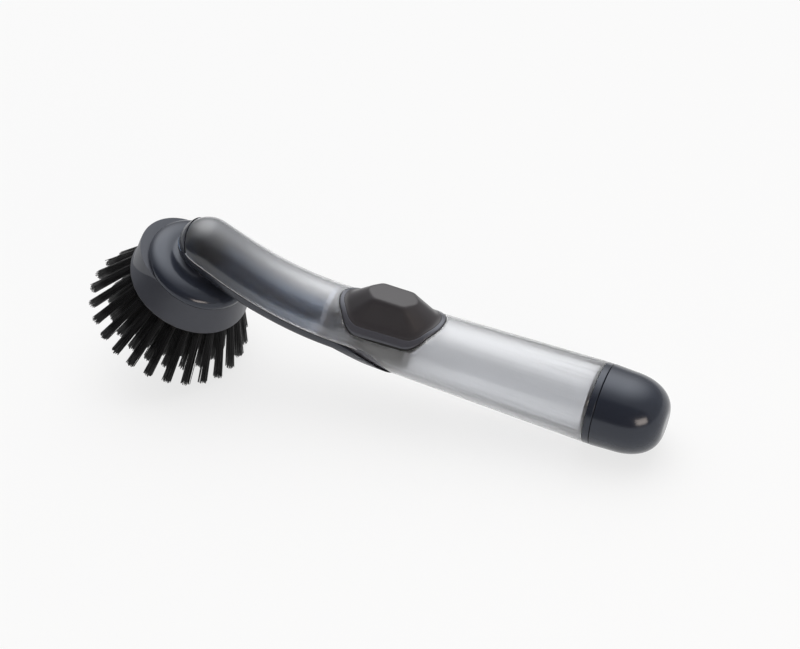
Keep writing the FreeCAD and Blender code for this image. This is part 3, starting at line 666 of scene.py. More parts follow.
@dataclass(frozen=True)
class Finish:
    """A moulded finish. Colours are linear."""

    name: str
    colour: Colour
    roughness: float
    drift: float = 0.06
    marks: float = 0.08
    grain_scale: float = 2500.0
    bump: float = 0.06
    transmission: float = 0.0
    ior: float = 1.5
    tint: Colour = (1.0, 1.0, 1.0)
    coat: float = 0.0
    coat_roughness: float = 0.1
    metallic: float = 0.0
    # A second colour mixed in by each point's stored darkness: painted shade on the shell, own tone on the
    # cup.
    deep: Colour | None = None

    def material(self, group: bpy.types.NodeTree) -> bpy.types.Material:
        """Builds the material.

        Args:
            group: The shared grain group.

        Returns:
            The material.
        """
        made = bpy.data.materials.new(self.name)
        tree = Tree.blank(made)
        grain = tree.add("ShaderNodeGroup", node_tree=group)
        given = {"Colour": (*self.colour, 1.0), "Drift": self.drift, "Roughness": self.roughness,
                 "Marks": self.marks, "Grain Scale": self.grain_scale}
        for name, value in given.items():
            grain.inputs[name].default_value = value
        tone = grain.outputs["Tone"]
        # Mixes in the deep colour: painted shade on the shell, the cup's own dark tone.
        if self.deep:
            depth = tree.add("ShaderNodeAttribute", attribute_name=TONE_AND_SHADE).outputs["Fac"]
            mixed = {"Factor_Float": depth, "A_Color": tone, "B_Color": (*self.deep, 1.0)}
            tone = tree.add("ShaderNodeMix", mixed, data_type="RGBA").outputs["Result"]
        shader = tree.add("ShaderNodeBsdfPrincipled", {
            "Base Color": tone,
            "Roughness": grain.outputs["Roughness"],
            "Transmission Weight": self.transmission,
            "IOR": self.ior,
            "Specular Tint": (*self.tint, 1.0),
            "Coat Weight": self.coat,
            "Coat Roughness": self.coat_roughness,
            "Metallic": self.metallic,
        })
        if self.bump > 0:
            bump = tree.add("ShaderNodeBump", {"Height": grain.outputs["Height"], "Strength": self.bump,
                                               "Distance": GRAIN_DEPTH})
            tree.feed(shader.inputs["Normal"], bump.outputs["Normal"])
        tree.add("ShaderNodeOutputMaterial", {"Surface": shader.outputs[0]})
        return made


# The smoky plastic's own tint; its deep colour is painted shade towards the nose and underneath.
SMOKY = Finish("smoky_clear", (0.835, 0.845, 0.865), 0.34, drift=0.03, marks=0.05, bump=0.02,
               transmission=0.95, ior=1.3, coat=1.0, coat_roughness=0.05, deep=(0.07, 0.09, 0.13))
GRAPHITE = Finish("graphite", (0.023, 0.027, 0.039), 0.18, marks=0.06, bump=0.03, tint=COOL)
# Graphite painted lighter than the cap's: painted light on the bulb's frame and the tray's recessed web.
GRAPHITE_PAINTED_LIGHT = Finish("graphite_painted_light", (0.074, 0.075, 0.089), 0.22, marks=0.06, bump=0.03, tint=COOL)
TRIM = Finish("trim_graphite", (0.026, 0.029, 0.038), 0.24, marks=0.06, bump=0.03, tint=COOL)
INNER = Finish("inner_graphite", (0.020, 0.024, 0.034), 0.4)
CUP = Finish("cup_smoky", (0.975, 0.978, 0.985), 0.3, marks=0.05, transmission=0.95, ior=1.06,
             deep=(0.006, 0.007, 0.010))
SILICONE = Finish("silicone", (0.045, 0.042, 0.046), 0.34, ior=1.4)
COLLAR = Finish("collar_grey", (0.048, 0.051, 0.063), 0.36, tint=COOL, grain_scale=3500.0, bump=0.08)
TRAY = Finish("tray_navy", (0.17, 0.225, 0.33), 0.45)
# The tray's navy painted lighter: painted light where the soap space behind the bulkhead shows lit.
TRAY_PAINTED_LIGHT = Finish("tray_painted_light", (0.47, 0.51, 0.6), 0.45)
# Light grey for the thin rods along the seam: a painted highlight line.
HIGHLIGHT_LINE = Finish("painted_highlight_line", (0.62, 0.64, 0.67), 0.15)
# Near black for the strip in the frame's seam: a painted shadow line.
SEAM_SHADOW = Finish("seam_painted_shadow", (0.004, 0.004, 0.005), 0.5)
BRISTLE = Finish("bristle", (0.0038, 0.0038, 0.0047), 0.3, drift=0.4, bump=0.0, ior=1.35)
WIRE = Finish("anchor_wire", (0.62, 0.62, 0.60), 0.3, metallic=1.0)
FINISHES = (SMOKY, GRAPHITE, GRAPHITE_PAINTED_LIGHT, TRIM, INNER, CUP, TRAY, TRAY_PAINTED_LIGHT, HIGHLIGHT_LINE, SEAM_SHADOW, SILICONE, COLLAR, BRISTLE,
            WIRE)


class TrayFace(Enum):
    """Places of the tray's other finishes among its materials, after its outside's."""

    # The web's lighter graphite is painted light in its recess.
    WEB = 1
    INSIDE = 2
    # Painted pale as painted light, behind the bulkhead.
    INSIDE_BACK_PAINTED_LIGHT = 3


@dataclass
class Handle:
    """The translucent tube with its trim and what it holds inside."""

    edge: float = 0.22
    # Where the shell's painted shade runs: along the neck, over its lower half and on the underside.
    shade_start: float = 120.0
    shade_end: float = 176.0
    shade_top: float = 0.5
    shade_low: float = 0.75
    under: float = 0.25
    under_top: float = 0.3
    rim_start: float = 5.7
    rim_slope: float = 46.0
    rim_gap: float = 0.2
    rim_proud: float = 0.45
    rim_steps: int = 5
    neck_steps: int = 24
    web_depth: float = 0.9
    web_blend: float = 0.3
    web_past: float = 0.1
    web_lift: float = 0.55
    inside_top: float = -1.0
    inside_radius: float = 12.55
    inside_facing: float = 0.15
    # Where the tray's inside turns from navy to the pale painted light.
    navy_end: float = -126.0
    cut_merge: float = 1e-7
    # The thin light rods along the seam, a painted highlight line.
    bead_sides: int = 8
    bead_radius: float = 0.14
    bead_out: float = 0.1
    bead_end: float = -100.5
    cup_edge: float = 0.11
    cup_start: float = -104.5
    cup_end: float = -79.9
    cup_fade: float = 0.8

    @staticmethod
    def shade(piece: bpy.types.Object, depth: Callable[[Vector], float]) -> None:
        """Stores how dark a piece is painted at each point: painted shade on the shell, the cup's own dark
        tone.

        Args:
            piece: The piece.
            depth: Darkness from 0 to 1 at a place in the wand's axes.
        """
        back = AXES.wand.inverted()
        kept = piece.data.attributes.new(TONE_AND_SHADE, "FLOAT", "POINT")
        for vertex, entry in zip(piece.data.vertices, kept.data):
            entry.value = depth(back @ vertex.co)

    def shell_painted_shade(self, place: Vector) -> float:
        """Painted shade of the shell: clear in the tube, darker towards the nose, low on the neck and on the
        underside.

        Args:
            place: A place in the wand's axes.

        Returns:
            The darkness from 0 to 1.
        """
        along = eased((-place.x - self.shade_start) / (self.shade_end - self.shade_start))
        low = eased(self.shade_low - FORM.neck_height(place.x, place.z))
        under = eased((self.under_top - place.z / FORM.end_radius) / (1.0 + self.under_top))
        return max(along * (self.shade_top + (1.0 - self.shade_top) * low), self.under * under)

    def cup_dark(self, place: Vector) -> float:
        """Darkness of the pump's plate: dark over the cup itself and clear at both ends."""
        back, front = self.cup_end - place.x, place.x - self.cup_start
        return eased(back / self.cup_fade) * eased(front / self.cup_fade)

    def sliced(self, piece: bpy.types.Object, start: float, keep_front: bool) -> None:
        """Cuts a copy of the shell at the nose's slanted seam and keeps one side, closed.

        Args:
            piece: The copy.
            start: Where the seam leaves the side line, from the nose's middle.
            keep_front: Whether the front of the nose stays, or all the rest.
        """
        run, rise = FORM.neck_axes()
        turn = AXES.wand.to_3x3()
        slope = math.radians(self.rim_slope)
        across = (turn @ (run * math.sin(slope) - rise * math.cos(slope))).normalized()
        work = bmesh.new()
        work.from_mesh(piece.data)
        bmesh.ops.bisect_plane(work, geom=work.verts[:] + work.edges[:] + work.faces[:], dist=self.cut_merge,
                               plane_co=AXES.wand @ (FORM.nose_centre() + run * start), plane_no=across,
                               clear_inner=keep_front, clear_outer=not keep_front)
        bmesh.ops.holes_fill(work, edges=[edge for edge in work.edges if edge.is_boundary])
        work.to_mesh(piece.data)
        work.free()
        smooth(piece.data)

    def nose_rim(self) -> bpy.types.Object:
        """The trim's slanted rim over the front of the nose, level with the tray's side.

        Returns:
            The new object.
        """
        rim = softened("body_shell", "nose_rim", self.edge)
        self.sliced(rim, self.rim_start + self.rim_gap, True)
        middle = Matrix.Translation(AXES.wand @ FORM.nose_centre())
        grow = 1.0 + self.rim_proud / FORM.nose_radius
        rim.data.transform(middle @ Matrix.Scale(grow, 4) @ middle.inverted())
        return rim

    def raised_web(self, trim: bpy.types.Object, *finishes: bpy.types.Material) -> None:
        """Brings the web beside the tongue nearly level with the tube, paints it lighter as painted light,
        and dresses the tray's inside, pale behind the bulkhead as painted light.

        Args:
            trim: The tray.
            finishes: Its other materials, in the order of TrayFace.
        """
        back = AXES.wand.inverted()
        turn = AXES.wand.to_3x3().inverted()
        lifted = set()
        for vertex in trim.data.vertices:
            place = back @ vertex.co
            radius = math.hypot(place.y, place.z)
            depth = FORM.tube_radius(place.x) - radius
            low, high = self.web_depth - self.web_blend, self.web_depth + self.web_past
            if place.x < -FORM.tube_length or not low < depth < high:
                continue
            share = min((depth - self.web_depth + self.web_blend) / self.web_blend, 1.0)
            grow = 1.0 + self.web_lift * share / radius
            vertex.co = AXES.wand @ Vector((place.x, place.y * grow, place.z * grow))
            lifted.add(vertex.index)
        for finish in finishes:
            trim.data.materials.append(finish)
        for face in trim.data.polygons:
            if lifted.issuperset(face.vertices):
                face.material_index = TrayFace.WEB.value
                continue
            middle = back @ face.center
            height = FORM.neck_height(middle.x, middle.z) * FORM.nose_radius
            within = math.hypot(middle.y, height) < self.inside_radius and height < self.inside_top
            if within and (turn @ face.normal).normalized().z > self.inside_facing:
                part = TrayFace.INSIDE if middle.x < self.navy_end else TrayFace.INSIDE_BACK_PAINTED_LIGHT
                face.material_index = part.value

    def side_line(self, side: float) -> list[Vector]:
        """Points along the seam over the tray, from the nose's rim back to the tongue.

        Args:
            side: 1 or -1 for the side of the neck.

        Returns:
            The points in the wand's axes.
        """
        run = FORM.neck_axes()[0]
        line = []
        for k in range(self.rim_steps):
            ahead = self.rim_start * (1 - k / self.rim_steps)
            line.append((FORM.nose_centre() + run * ahead, math.sqrt(FORM.nose_radius ** 2 - ahead ** 2)))
        bend = FORM.bend_radius * math.radians(FORM.pitch)
        length = bend + FORM.neck_run
        for k in range(self.neck_steps + 1):
            along = length * (1 - k / self.neck_steps)
            spine = FORM.bend_spine(min(along, bend) / FORM.bend_radius) + run * max(along - bend, 0.0)
            line.append((spine, FORM.neck_radius + (FORM.nose_radius - FORM.neck_radius) * along / length))
        line.append((Vector((self.bead_end, 0.0, 0.0)), FORM.tube_radius(self.bead_end)))
        return [spot + Vector((0.0, side * (radius + self.bead_out), 0.0)) for spot, radius in line]

    def bead_tree(self) -> bpy.types.NodeTree:
        """Geometry nodes that lay a thin bead along a line, light coloured as a painted highlight.

        Returns:
            The tree, with named inputs for its size and finish.
        """
        tree = Tree.grower("highlight_bead", ("Radius",))
        given = tree.add("NodeGroupInput").outputs
        tree.end(tree.rod(given["Geometry"], self.bead_sides, given["Radius"]), given["Material"])
        return tree.tree

    def build(self, looks: Looks) -> None:
        """Rounds and dresses the handle's mouldings.

        Args:
            looks: The materials by name.
        """
        shell = softened("body_shell", "handle_shell", self.edge)
        self.sliced(shell, self.rim_start, False)
        # The shell is painted darker as painted shade towards the nose, low on the neck and underneath.
        self.shade(shell, self.shell_painted_shade)
        settle(shell, Body.WAND, Slot.SMOKY, looks["smoky_clear"], "body_shell")
        settle(self.nose_rim(), Body.WAND, Slot.GRAPHITE, looks["trim_graphite"])
        trim = softened("neck_trim", "neck_tray", self.edge)
        settle(trim, Body.WAND, Slot.GRAPHITE, looks["trim_graphite"], "neck_trim")
        self.raised_web(trim, looks["graphite_painted_light"], looks["tray_navy"], looks["tray_painted_light"])
        # Light rods along both sides of the seam over the tray: a painted highlight line.
        group = self.bead_tree()
        values = {"Radius": self.bead_radius, "Material": looks["painted_highlight_line"]}
        for name, side in (("highlight_line_front", -1.0), ("highlight_line_back", 1.0)):
            bead = grown(name, group, values, AXES.wand, self.side_line(side))
            settle(bead, Body.WAND, Slot.SMOKY, looks["painted_highlight_line"])
        cup = softened("pump_chamber", "pump_cup", self.cup_edge)
        self.shade(cup, self.cup_dark)
        settle(cup, Body.WAND, Slot.GRAPHITE, looks["cup_smoky"], "pump_chamber")
        # The bulkhead is painted pale as painted light.
        dress_node("bulkhead", looks["tray_painted_light"])
        dress_node("soap_duct", looks["tray_navy"])
        for node in ("duct_elbow", "valve_retainer"):
            dress_node(node, looks["inner_graphite"])
        for node in ("inlet_valve", "outlet_valve", "head_seal", "dispensing_valve", "ring_seal", "cap_seal"):
            dress_node(node, looks["silicone"])


@dataclass
class EndCap:
    """The screw cap, the ring it screws to, and their threads."""

    start: float = 3.3
    radius: float = 17.4
    shoulder_at: float = 12.0
    shoulder_radius: float = 17.0
    shoulder_pull: float = 13.0
    flat_radius: float = 4.5
    flat_pull: float = 6.0
    crown_steps: int = 22
    bore: float = 14.0
    bore_end: float = 14.15
    inner_radius: float = 11.0
    core_inner: float = 14.8
    core_outer: float = 15.7
    core_end: float = 11.0
    hollow_end: float = 27.2
    hollow_slope: float = 6.0
    edge: float = 0.3
    ring_gap: float = 0.2
    ring_end: float = 3.05
    sleeve: float = 1.6
    sleeve_radius: float = 15.45
    sleeve_inner: float = 13.0
    mouth_radius: float = 13.0
    mouth_end: float = 13.05
    pitch: float = 4.0
    thread_start: float = 4.5
    thread_turns: float = 1.6
    thread_size: float = 0.45
    thread_steps: int = 72
    thread_sides: int = 10
    thread_fade: float = 14.0
    mouth_proud: float = 0.1
    bore_proud: float = 0.05

    def cap_outline(self) -> list[Point2]:
        """Outline of the cap from its open edge over the end and back inside.

        Returns:
            The points as (along, radius).
        """
        end = FORM.cap_end
        crown = bezier((self.shoulder_at, self.shoulder_radius),
                       (self.shoulder_at + self.shoulder_pull, self.shoulder_radius),
                       (end, self.flat_radius + self.flat_pull), (end, self.flat_radius), self.crown_steps)
        return rounded([
            (self.start, self.radius, self.edge),
            (self.shoulder_at, self.shoulder_radius, 0.0),
            *crown,
            (end, 0.0, 0.0),
            (self.hollow_end, 0.0, 0.0),
            (self.hollow_end, self.flat_radius, 1.0),
            (self.hollow_end - self.hollow_slope, self.inner_radius, 1.0),
            (self.bore_end, self.inner_radius, 0.0),
            (self.bore_end, self.bore, 0.3),
            (self.start, self.bore, 0.25),
            (self.start, self.core_inner, 0.2),
            (self.core_end, self.core_inner, 0.2),
            (self.core_end, self.core_outer, 0.2),
            (self.start, self.core_outer, 0.2),
        ])

    def ring_outline(self) -> list[Point2]:
        """Outline of the end ring from its sleeve round to the filler mouth.

        Returns:
            The points as (along, radius).
        """
        return rounded([
            (-self.sleeve, self.sleeve_inner, 0.2),
            (-self.sleeve, self.sleeve_radius, 0.15),
            (self.ring_gap, self.sleeve_radius, 0.0),
            (self.ring_gap, FORM.end_radius, self.edge),
            (self.ring_end, FORM.end_radius, self.edge),
            (self.ring_end, self.mouth_radius, 0.4),
            (self.mouth_end, self.mouth_radius, 0.5),
            (self.mouth_end, self.inner_radius, 0.5),
            (0.0, self.inner_radius, 0.8),
        ])

    def thread_tree(self) -> bpy.types.NodeTree:
        """Geometry nodes that wind one screw thread.

        Returns:
            The tree, with named inputs for its sizes.
        """
        tree = Tree.grower("screw_thread", ("Radius", "Pitch", "Turns", "Size", "Start"))
        given = tree.add("NodeGroupInput").outputs
        rise = tree.math("MULTIPLY", given["Pitch"], given["Turns"])
        helix = tree.add("GeometryNodeCurveSpiral", {
            "Resolution": self.thread_steps, "Rotations": given["Turns"], "Height": rise,
            "Start Radius": given["Radius"], "End Radius": given["Radius"],
        }).outputs[0]
        lift = tree.add("ShaderNodeCombineXYZ", {2: given["Start"]}).outputs[0]
        helix = tree.add("GeometryNodeSetPosition", {"Geometry": helix, "Offset": lift}).outputs[0]
        share = tree.add("GeometryNodeSplineParameter").outputs[0]
        fade = tree.math("MINIMUM", share, tree.math("SUBTRACT", 1.0, share))
        fade = tree.math("SQRT", tree.math("MINIMUM", tree.math("MULTIPLY", fade, self.thread_fade), 1.0))
        tree.end(tree.rod(helix, self.thread_sides, given["Size"], fade), given["Material"])
        return tree.tree

    def thread(self, name: str, group: bpy.types.NodeTree, radius: float, start: float,
               finish: bpy.types.Material) -> bpy.types.Object:
        """One screw thread as a plain mesh.

        Args:
            name: The piece's name.
            group: The thread tree.
            radius: Radius of the ridge's middle.
            start: Where it starts along the tube.
            finish: Its material.

        Returns:
            The new object.
        """
        values = {"Radius": radius, "Pitch": self.pitch, "Turns": self.thread_turns, "Size": self.thread_size,
                  "Start": start, "Material": finish}
        return grown(name, group, values, AXES.tube)

    def build(self, looks: Looks) -> None:
        """Turns and dresses the cap and the ring, and winds their threads.

        Args:
            looks: The materials by name.
        """
        finish = looks["graphite"]
        cap = lathe("screw_cap", self.cap_outline(), AXES.tube)
        settle(cap, Body.CAP, Slot.GRAPHITE, finish, "end_cap")
        ring = lathe("filler_ring", self.ring_outline(), AXES.tube)
        settle(ring, Body.WAND, Slot.GRAPHITE, finish, "end_ring")
        group = self.thread_tree()
        start = self.thread_start
        outside = self.thread("mouth_thread", group, self.mouth_radius + self.mouth_proud, start, finish)
        settle(outside, Body.WAND, Slot.GRAPHITE, finish)
        start += self.pitch / 2
        inside = self.thread("cap_thread", group, self.bore - self.bore_proud, start, finish)
        settle(inside, Body.CAP, Slot.GRAPHITE, finish)


# Turn in radians from one filament of a tuft to the next, which spreads them evenly.
FILAMENT_TURN = 2.39996

# What each filament keeps while it is drawn out: its two ends, its bend and its two directions across.
KEPT = ("root", "tip", "bow", "side", "other")


@dataclass(frozen=True)
class TuftRing:
    """One ring of tufts, in millimetres in the head's axes."""

    name: str
    node: str
    tufts: int
    root: float
    tip: float
    length: float
    seed: int


@dataclass
class BrushHead:
    """The clip-on head: collar, wires and four rings of bristle tufts."""

    rings: tuple[TuftRing, ...] = (
        TuftRing("bristles_outer", "tufts_outer", 26, 23.4, 36.0, 26.3, 3),
        TuftRing("bristles_second", "tufts_second", 20, 17.8, 26.8, 27.7, 11),
        TuftRing("bristles_third", "tufts_third", 14, 12.1, 19.2, 29.3, 23),
        TuftRing("bristles_inner", "tufts_inner", 8, 6.4, 11.2, 30.6, 37),
    )
    plate: float = -12.26
    sunk: float = 2.0
    filaments: int = 52
    filament_radius: float = 0.165
    root_spread: float = 1.45
    tip_spread: float = 2.0
    ragged: float = 1.0
    ragged_power: float = 1.6
    stray: float = 0.6
    stray_power: float = 4.0
    stray_least: float = 0.08
    bow: float = 0.35
    tuft_turn: float = 1.7
    rod_sides: int = 6
    rod_steps: int = 4
    floor: float = 0.0001

    def tuft_tree(self) -> bpy.types.NodeTree:
        """Geometry nodes that grow one ring of tufts filament by filament.

        Returns:
            The tree, with named inputs for its sizes.
        """
        sizes = ("Root Radius", "Tip Radius", "Length", "Plate Height", "Sunk", "Root Spread", "Tip Spread",
                 "Filament Radius", "Ragged", "Stray")
        tree = Tree.grower("tuft_ring", sizes, ("Tufts", "Filaments", "Seed"))
        given = tree.add("NodeGroupInput").outputs

        # Directions of each filament's tuft, and its place in the tuft.
        index = tree.add("GeometryNodeInputIndex").outputs[0]
        tuft = tree.math("FLOOR", tree.math("DIVIDE", tree.math("ADD", index, 0.5), given["Filaments"]))
        strand = tree.math("SUBTRACT", index, tree.math("MULTIPLY", tuft, given["Filaments"]))
        angle = tree.math("MULTIPLY", tree.math("ADD", tuft, 0.5), math.tau)
        angle = tree.math("DIVIDE", angle, given["Tufts"])
        cos, sin = tree.math("COSINE", angle), tree.math("SINE", angle)
        outward = tree.add("ShaderNodeCombineXYZ", {0: cos, 1: sin}).outputs[0]
        side = tree.add("ShaderNodeCombineXYZ", {0: tree.math("MULTIPLY", sin, -1.0), 1: cos}).outputs[0]
        lean = tree.math("SUBTRACT", given["Tip Radius"], given["Root Radius"])
        fall = tree.add("ShaderNodeCombineXYZ", {2: tree.math("MULTIPLY", given["Length"], -1.0)}).outputs[0]
        run = tree.vector("ADD", tree.scaled(outward, lean), fall)
        axis = tree.vector("NORMALIZE", run)
        other = tree.vector("CROSS_PRODUCT", axis, side)
        reach = tree.math("SQRT", tree.math("DIVIDE", tree.math("ADD", strand, 0.5), given["Filaments"]))
        spiral = tree.math("ADD", tree.math("MULTIPLY", strand, FILAMENT_TURN),
                           tree.math("MULTIPLY", tuft, self.tuft_turn))
        spoke = tree.vector("ADD", tree.scaled(side, tree.math("COSINE", spiral)),
                            tree.scaled(other, tree.math("SINE", spiral)))
        spoke = tree.scaled(spoke, reach)

        def chance(shift: int, low: float, high: float) -> Any:
            """Random number for each filament.

            Args:
                shift: Added to the ring's seed, its own for each use.
                low: Least number.
                high: Greatest number.

            Returns:
                The output that gives it.
            """
            seed = tree.math("ADD", given["Seed"], float(shift))
            node = tree.add("FunctionNodeRandomValue", {"Min_001": low, "Max_001": high, "Seed": seed},
                            data_type="FLOAT")
            return node.outputs[1]

        # Both ends of each filament, with short and stray ones among them.
        seat = tree.add("ShaderNodeCombineXYZ", {2: given["Plate Height"]}).outputs[0]
        base = tree.vector("ADD", tree.scaled(outward, given["Root Radius"]), seat)
        root = tree.vector("ADD", base, tree.scaled(spoke, given["Root Spread"]))
        root = tree.vector("SUBTRACT", root, tree.scaled(axis, given["Sunk"]))
        short = tree.math("POWER", chance(1, 0.0, 1.0), self.ragged_power)
        short = tree.math("MULTIPLY", short, given["Ragged"])
        tip = tree.vector("ADD", tree.vector("ADD", base, run), tree.scaled(spoke, given["Tip Spread"]))
        tip = tree.vector("SUBTRACT", tip, tree.scaled(axis, short))
        wild = tree.math("POWER", chance(2, 0.0, 1.0), self.stray_power)
        wild = tree.math("MULTIPLY", wild, given["Stray"])
        wander = tree.math("MULTIPLY", chance(3, 0.0, 1.0), math.tau)
        drift = tree.vector("ADD", tree.scaled(side, tree.math("COSINE", wander)),
                            tree.scaled(other, tree.math("SINE", wander)))
        tip = tree.vector("ADD", tip, tree.scaled(drift, tree.math("ADD", wild, self.stray_least)))
        bow = tree.scaled(drift, tree.math("MULTIPLY", chance(4, -self.bow, self.bow), given["Stray"]))

        # One rod for each filament, drawn out between its ends.
        count = tree.math("MULTIPLY", given["Tufts"], given["Filaments"])
        cloud = tree.add("GeometryNodePoints", {"Count": count}).outputs[0]
        for name, value in zip(KEPT, (root, tip, bow, side, other)):
            entry = {"Geometry": cloud, "Name": name, "Value": value}
            cloud = tree.add("GeometryNodeStoreNamedAttribute", entry, data_type="FLOAT_VECTOR",
                             domain="POINT").outputs[0]
        sides = {"Vertices": self.rod_sides, "Side Segments": self.rod_steps, "Radius": 1.0, "Depth": 1.0}
        rod = tree.add("GeometryNodeMeshCylinder", sides, fill_type="NGON").outputs[0]
        bundle = tree.add("GeometryNodeInstanceOnPoints", {"Points": cloud, "Instance": rod}).outputs[0]
        bundle = tree.add("GeometryNodeRealizeInstances", {"Geometry": bundle}).outputs[0]
        here = tree.add("GeometryNodeInputPosition").outputs[0]
        spot = tree.add("ShaderNodeSeparateXYZ", {0: here}).outputs
        share = tree.math("ADD", spot[2], 0.5)

        def kept(name: str) -> Any:
            """Output that gives what a filament keeps under a name."""
            entry = {"Name": name}
            return tree.add("GeometryNodeInputNamedAttribute", entry, data_type="FLOAT_VECTOR").outputs[0]

        ends = {"Factor_Float": share, "A_Vector": kept("root"), "B_Vector": kept("tip")}
        centre = tree.add("ShaderNodeMix", ends, data_type="VECTOR").outputs[1]
        arch = tree.math("MULTIPLY", tree.math("MULTIPLY", share, tree.math("SUBTRACT", 1.0, share)), 4.0)
        centre = tree.vector("ADD", centre, tree.scaled(kept("bow"), arch))
        girth = tree.vector("ADD", tree.scaled(kept("side"), spot[0]), tree.scaled(kept("other"), spot[1]))
        place = tree.vector("ADD", centre, tree.scaled(girth, given["Filament Radius"]))
        bundle = tree.add("GeometryNodeSetPosition", {"Geometry": bundle, "Position": place}).outputs[0]
        bundle = tree.add("GeometryNodeSetShadeSmooth", {"Geometry": bundle}).outputs[0]
        tree.end(bundle, given["Material"])
        return tree.tree

    def ring_piece(self, ring: TuftRing, group: bpy.types.NodeTree,
                   finish: bpy.types.Material) -> bpy.types.Object:
        """Grows one ring of tufts and makes it a plain mesh.

        Args:
            ring: The ring's sizes.
            group: The tuft tree.
            finish: The bristles' material.

        Returns:
            The ring as an object in the row frame.
        """
        values = {
            "Tufts": ring.tufts, "Filaments": self.filaments, "Seed": ring.seed,
            "Root Radius": ring.root, "Tip Radius": ring.tip, "Length": ring.length,
            "Plate Height": self.plate, "Sunk": self.sunk, "Filament Radius": self.filament_radius,
            "Root Spread": self.root_spread, "Tip Spread": self.tip_spread, "Ragged": self.ragged,
            "Stray": self.stray, "Material": finish,
        }
        piece = grown(ring.name, group, values, AXES.head)
        for vertex in piece.data.vertices:
            vertex.co.z = max(vertex.co.z, self.floor)
        for name in KEPT:
            piece.data.attributes.remove(piece.data.attributes[name])
        return piece

    def build(self, looks: Looks) -> None:
        """Grows the tufts and dresses the collar.

        Args:
            looks: The materials by name.
        """
        dress_node("head_base", looks["collar_grey"])
        dress_node("tuft_anchors", looks["anchor_wire"])
        group = self.tuft_tree()
        for ring in self.rings:
            piece = self.ring_piece(ring, group, looks["bristle"])
            settle(piece, Body.HEAD, Slot.BRISTLE, looks["bristle"], ring.node)


@dataclass
class Seat:
    """The bell under the neck that carries the head, in the head's axes."""

    edge: float = 23.34
    gap: float = 0.1
    side: float = 0.9
    roll: float = 4.7
    roll_width: float = 8.6
    roll_steps: int = 16
    flare_steps: int = 14
    top_radius: float = 10.0
    top: float = 9.1
    lip: float = 21.0
    lip_depth: float = 3.0
    lip_wall: float = 1.8
    roof: float = 2.4
    spigot: float = 9.2
    spigot_depth: float = 6.5
    valve_radius: float = 6.2
    valve_depth: float = 4.0
    plug_radius: float = 5.05
    plug_floor: float = 5.05
    soap_bore: float = 1.8
    groove_depth: float = 7.9
    groove_at: float = 2.5
    groove_half: float = 0.9

    def outline(self) -> list[Point2]:
        """Outline of the bell: rolled edge, flare, soap bore, spigot and lip.

        Returns:
            The points as (along, radius).
        """
        crest = self.gap + self.side + self.roll
        middle = self.edge - self.roll_width
        turns = [math.radians(90 * k / self.roll_steps) for k in range(self.roll_steps + 1)]
        roll = [(crest - self.roll + self.roll * math.sin(t), middle + self.roll_width * math.cos(t), 0.0)
                for t in turns]
        rise, run = self.top - crest, middle - self.top_radius
        radius = (run ** 2 + rise ** 2) / (2 * rise)
        sweep = math.asin(run / radius)
        turns = [sweep * k / self.flare_steps for k in range(1, self.flare_steps + 1)]
        flare = [(crest + radius * (1 - math.cos(t)), middle - radius * math.sin(t), 0.0) for t in turns]
        return rounded([
            (-self.lip_depth, self.lip, 0.3),
            (self.gap, self.lip, 0.0),
            (self.gap, self.edge, 0.2),
            *roll,
            *flare,
            (self.top, self.plug_radius, 0.0),
            (self.plug_floor, self.plug_radius, 0.0),
            (self.plug_floor, self.soap_bore, 0.0),
            (-self.valve_depth, self.soap_bore, 0.0),
            (-self.valve_depth, self.valve_radius, 0.0),
            (-self.spigot_depth, self.valve_radius, 0.2),
            (-self.spigot_depth, self.spigot, 0.4),
            (-self.groove_at - self.groove_half, self.spigot, 0.1),
            (-self.groove_at - self.groove_half, self.groove_depth, 0.0),
            (-self.groove_at + self.groove_half, self.groove_depth, 0.0),
            (-self.groove_at + self.groove_half, self.spigot, 0.1),
            (self.roof, self.spigot, 0.5),
            (self.roof, self.lip - self.lip_wall, 0.5),
            (-self.lip_depth, self.lip - self.lip_wall, 0.3),
        ])

    def build(self, looks: Looks) -> None:
        """Turns and dresses the bell.

        Args:
            looks: The materials by name.
        """
        bell = lathe("head_bell", self.outline(), AXES.head)
        settle(bell, Body.WAND, Slot.GRAPHITE, looks["graphite"], "head_seat")


@dataclass(frozen=True)
class Hexagon:
    """A hexagon along the tube with rounded corners."""

    tip: float
    side: float
    half_width: float
    tip_round: float
    corner_round: float
    least_round: float = 0.3

    def outline(self, inset: float, arc_steps: int = 8, edge_steps: int = 6) -> list[Point2]:
        """Points of the outline drawn in by an inset, the same number for every hexagon.

        Args:
            inset: How far it is drawn in on every side.
            arc_steps: Steps of each corner.
            edge_steps: Steps of each straight side.

        Returns:
            The points, once round.
        """
        slant = math.hypot(self.tip - self.side, self.half_width)
        width = self.half_width - inset
        point = self.tip - inset * slant / self.half_width
        edge = (self.tip * self.half_width - inset * slant - width * (self.tip - self.side)) / self.half_width
        tip_round = max(self.tip_round - inset, self.least_round)
        corner_round = max(self.corner_round - inset, self.least_round)
        right = [(edge, -width, corner_round), (point, 0.0, tip_round), (edge, width, corner_round)]
        corners = right + [(-x, -y, r) for x, y, r in right]
        arcs = []
        for i, (x, y, radius) in enumerate(corners):
            here = Vector((x, y))
            back = (Vector(corners[i - 1][:2]) - here).normalized()
            ahead = (Vector(corners[(i + 1) % len(corners)][:2]) - here).normalized()
            half = back.angle(ahead) / 2
            centre = here + (back + ahead).normalized() * (radius / math.sin(half))
            first = here + back * (radius / math.tan(half)) - centre
            sweep = math.pi - 2 * half
            arcs.append([centre + Matrix.Rotation(sweep * k / arc_steps, 2) @ first
                         for k in range(arc_steps + 1)])
        points: list[Point2] = []
        for arc, following in zip(arcs, arcs[1:] + arcs[:1]):
            points += [tuple(p) for p in arc]
            points += [tuple(arc[-1].lerp(following[0], k / edge_steps)) for k in range(1, edge_steps)]
        return points


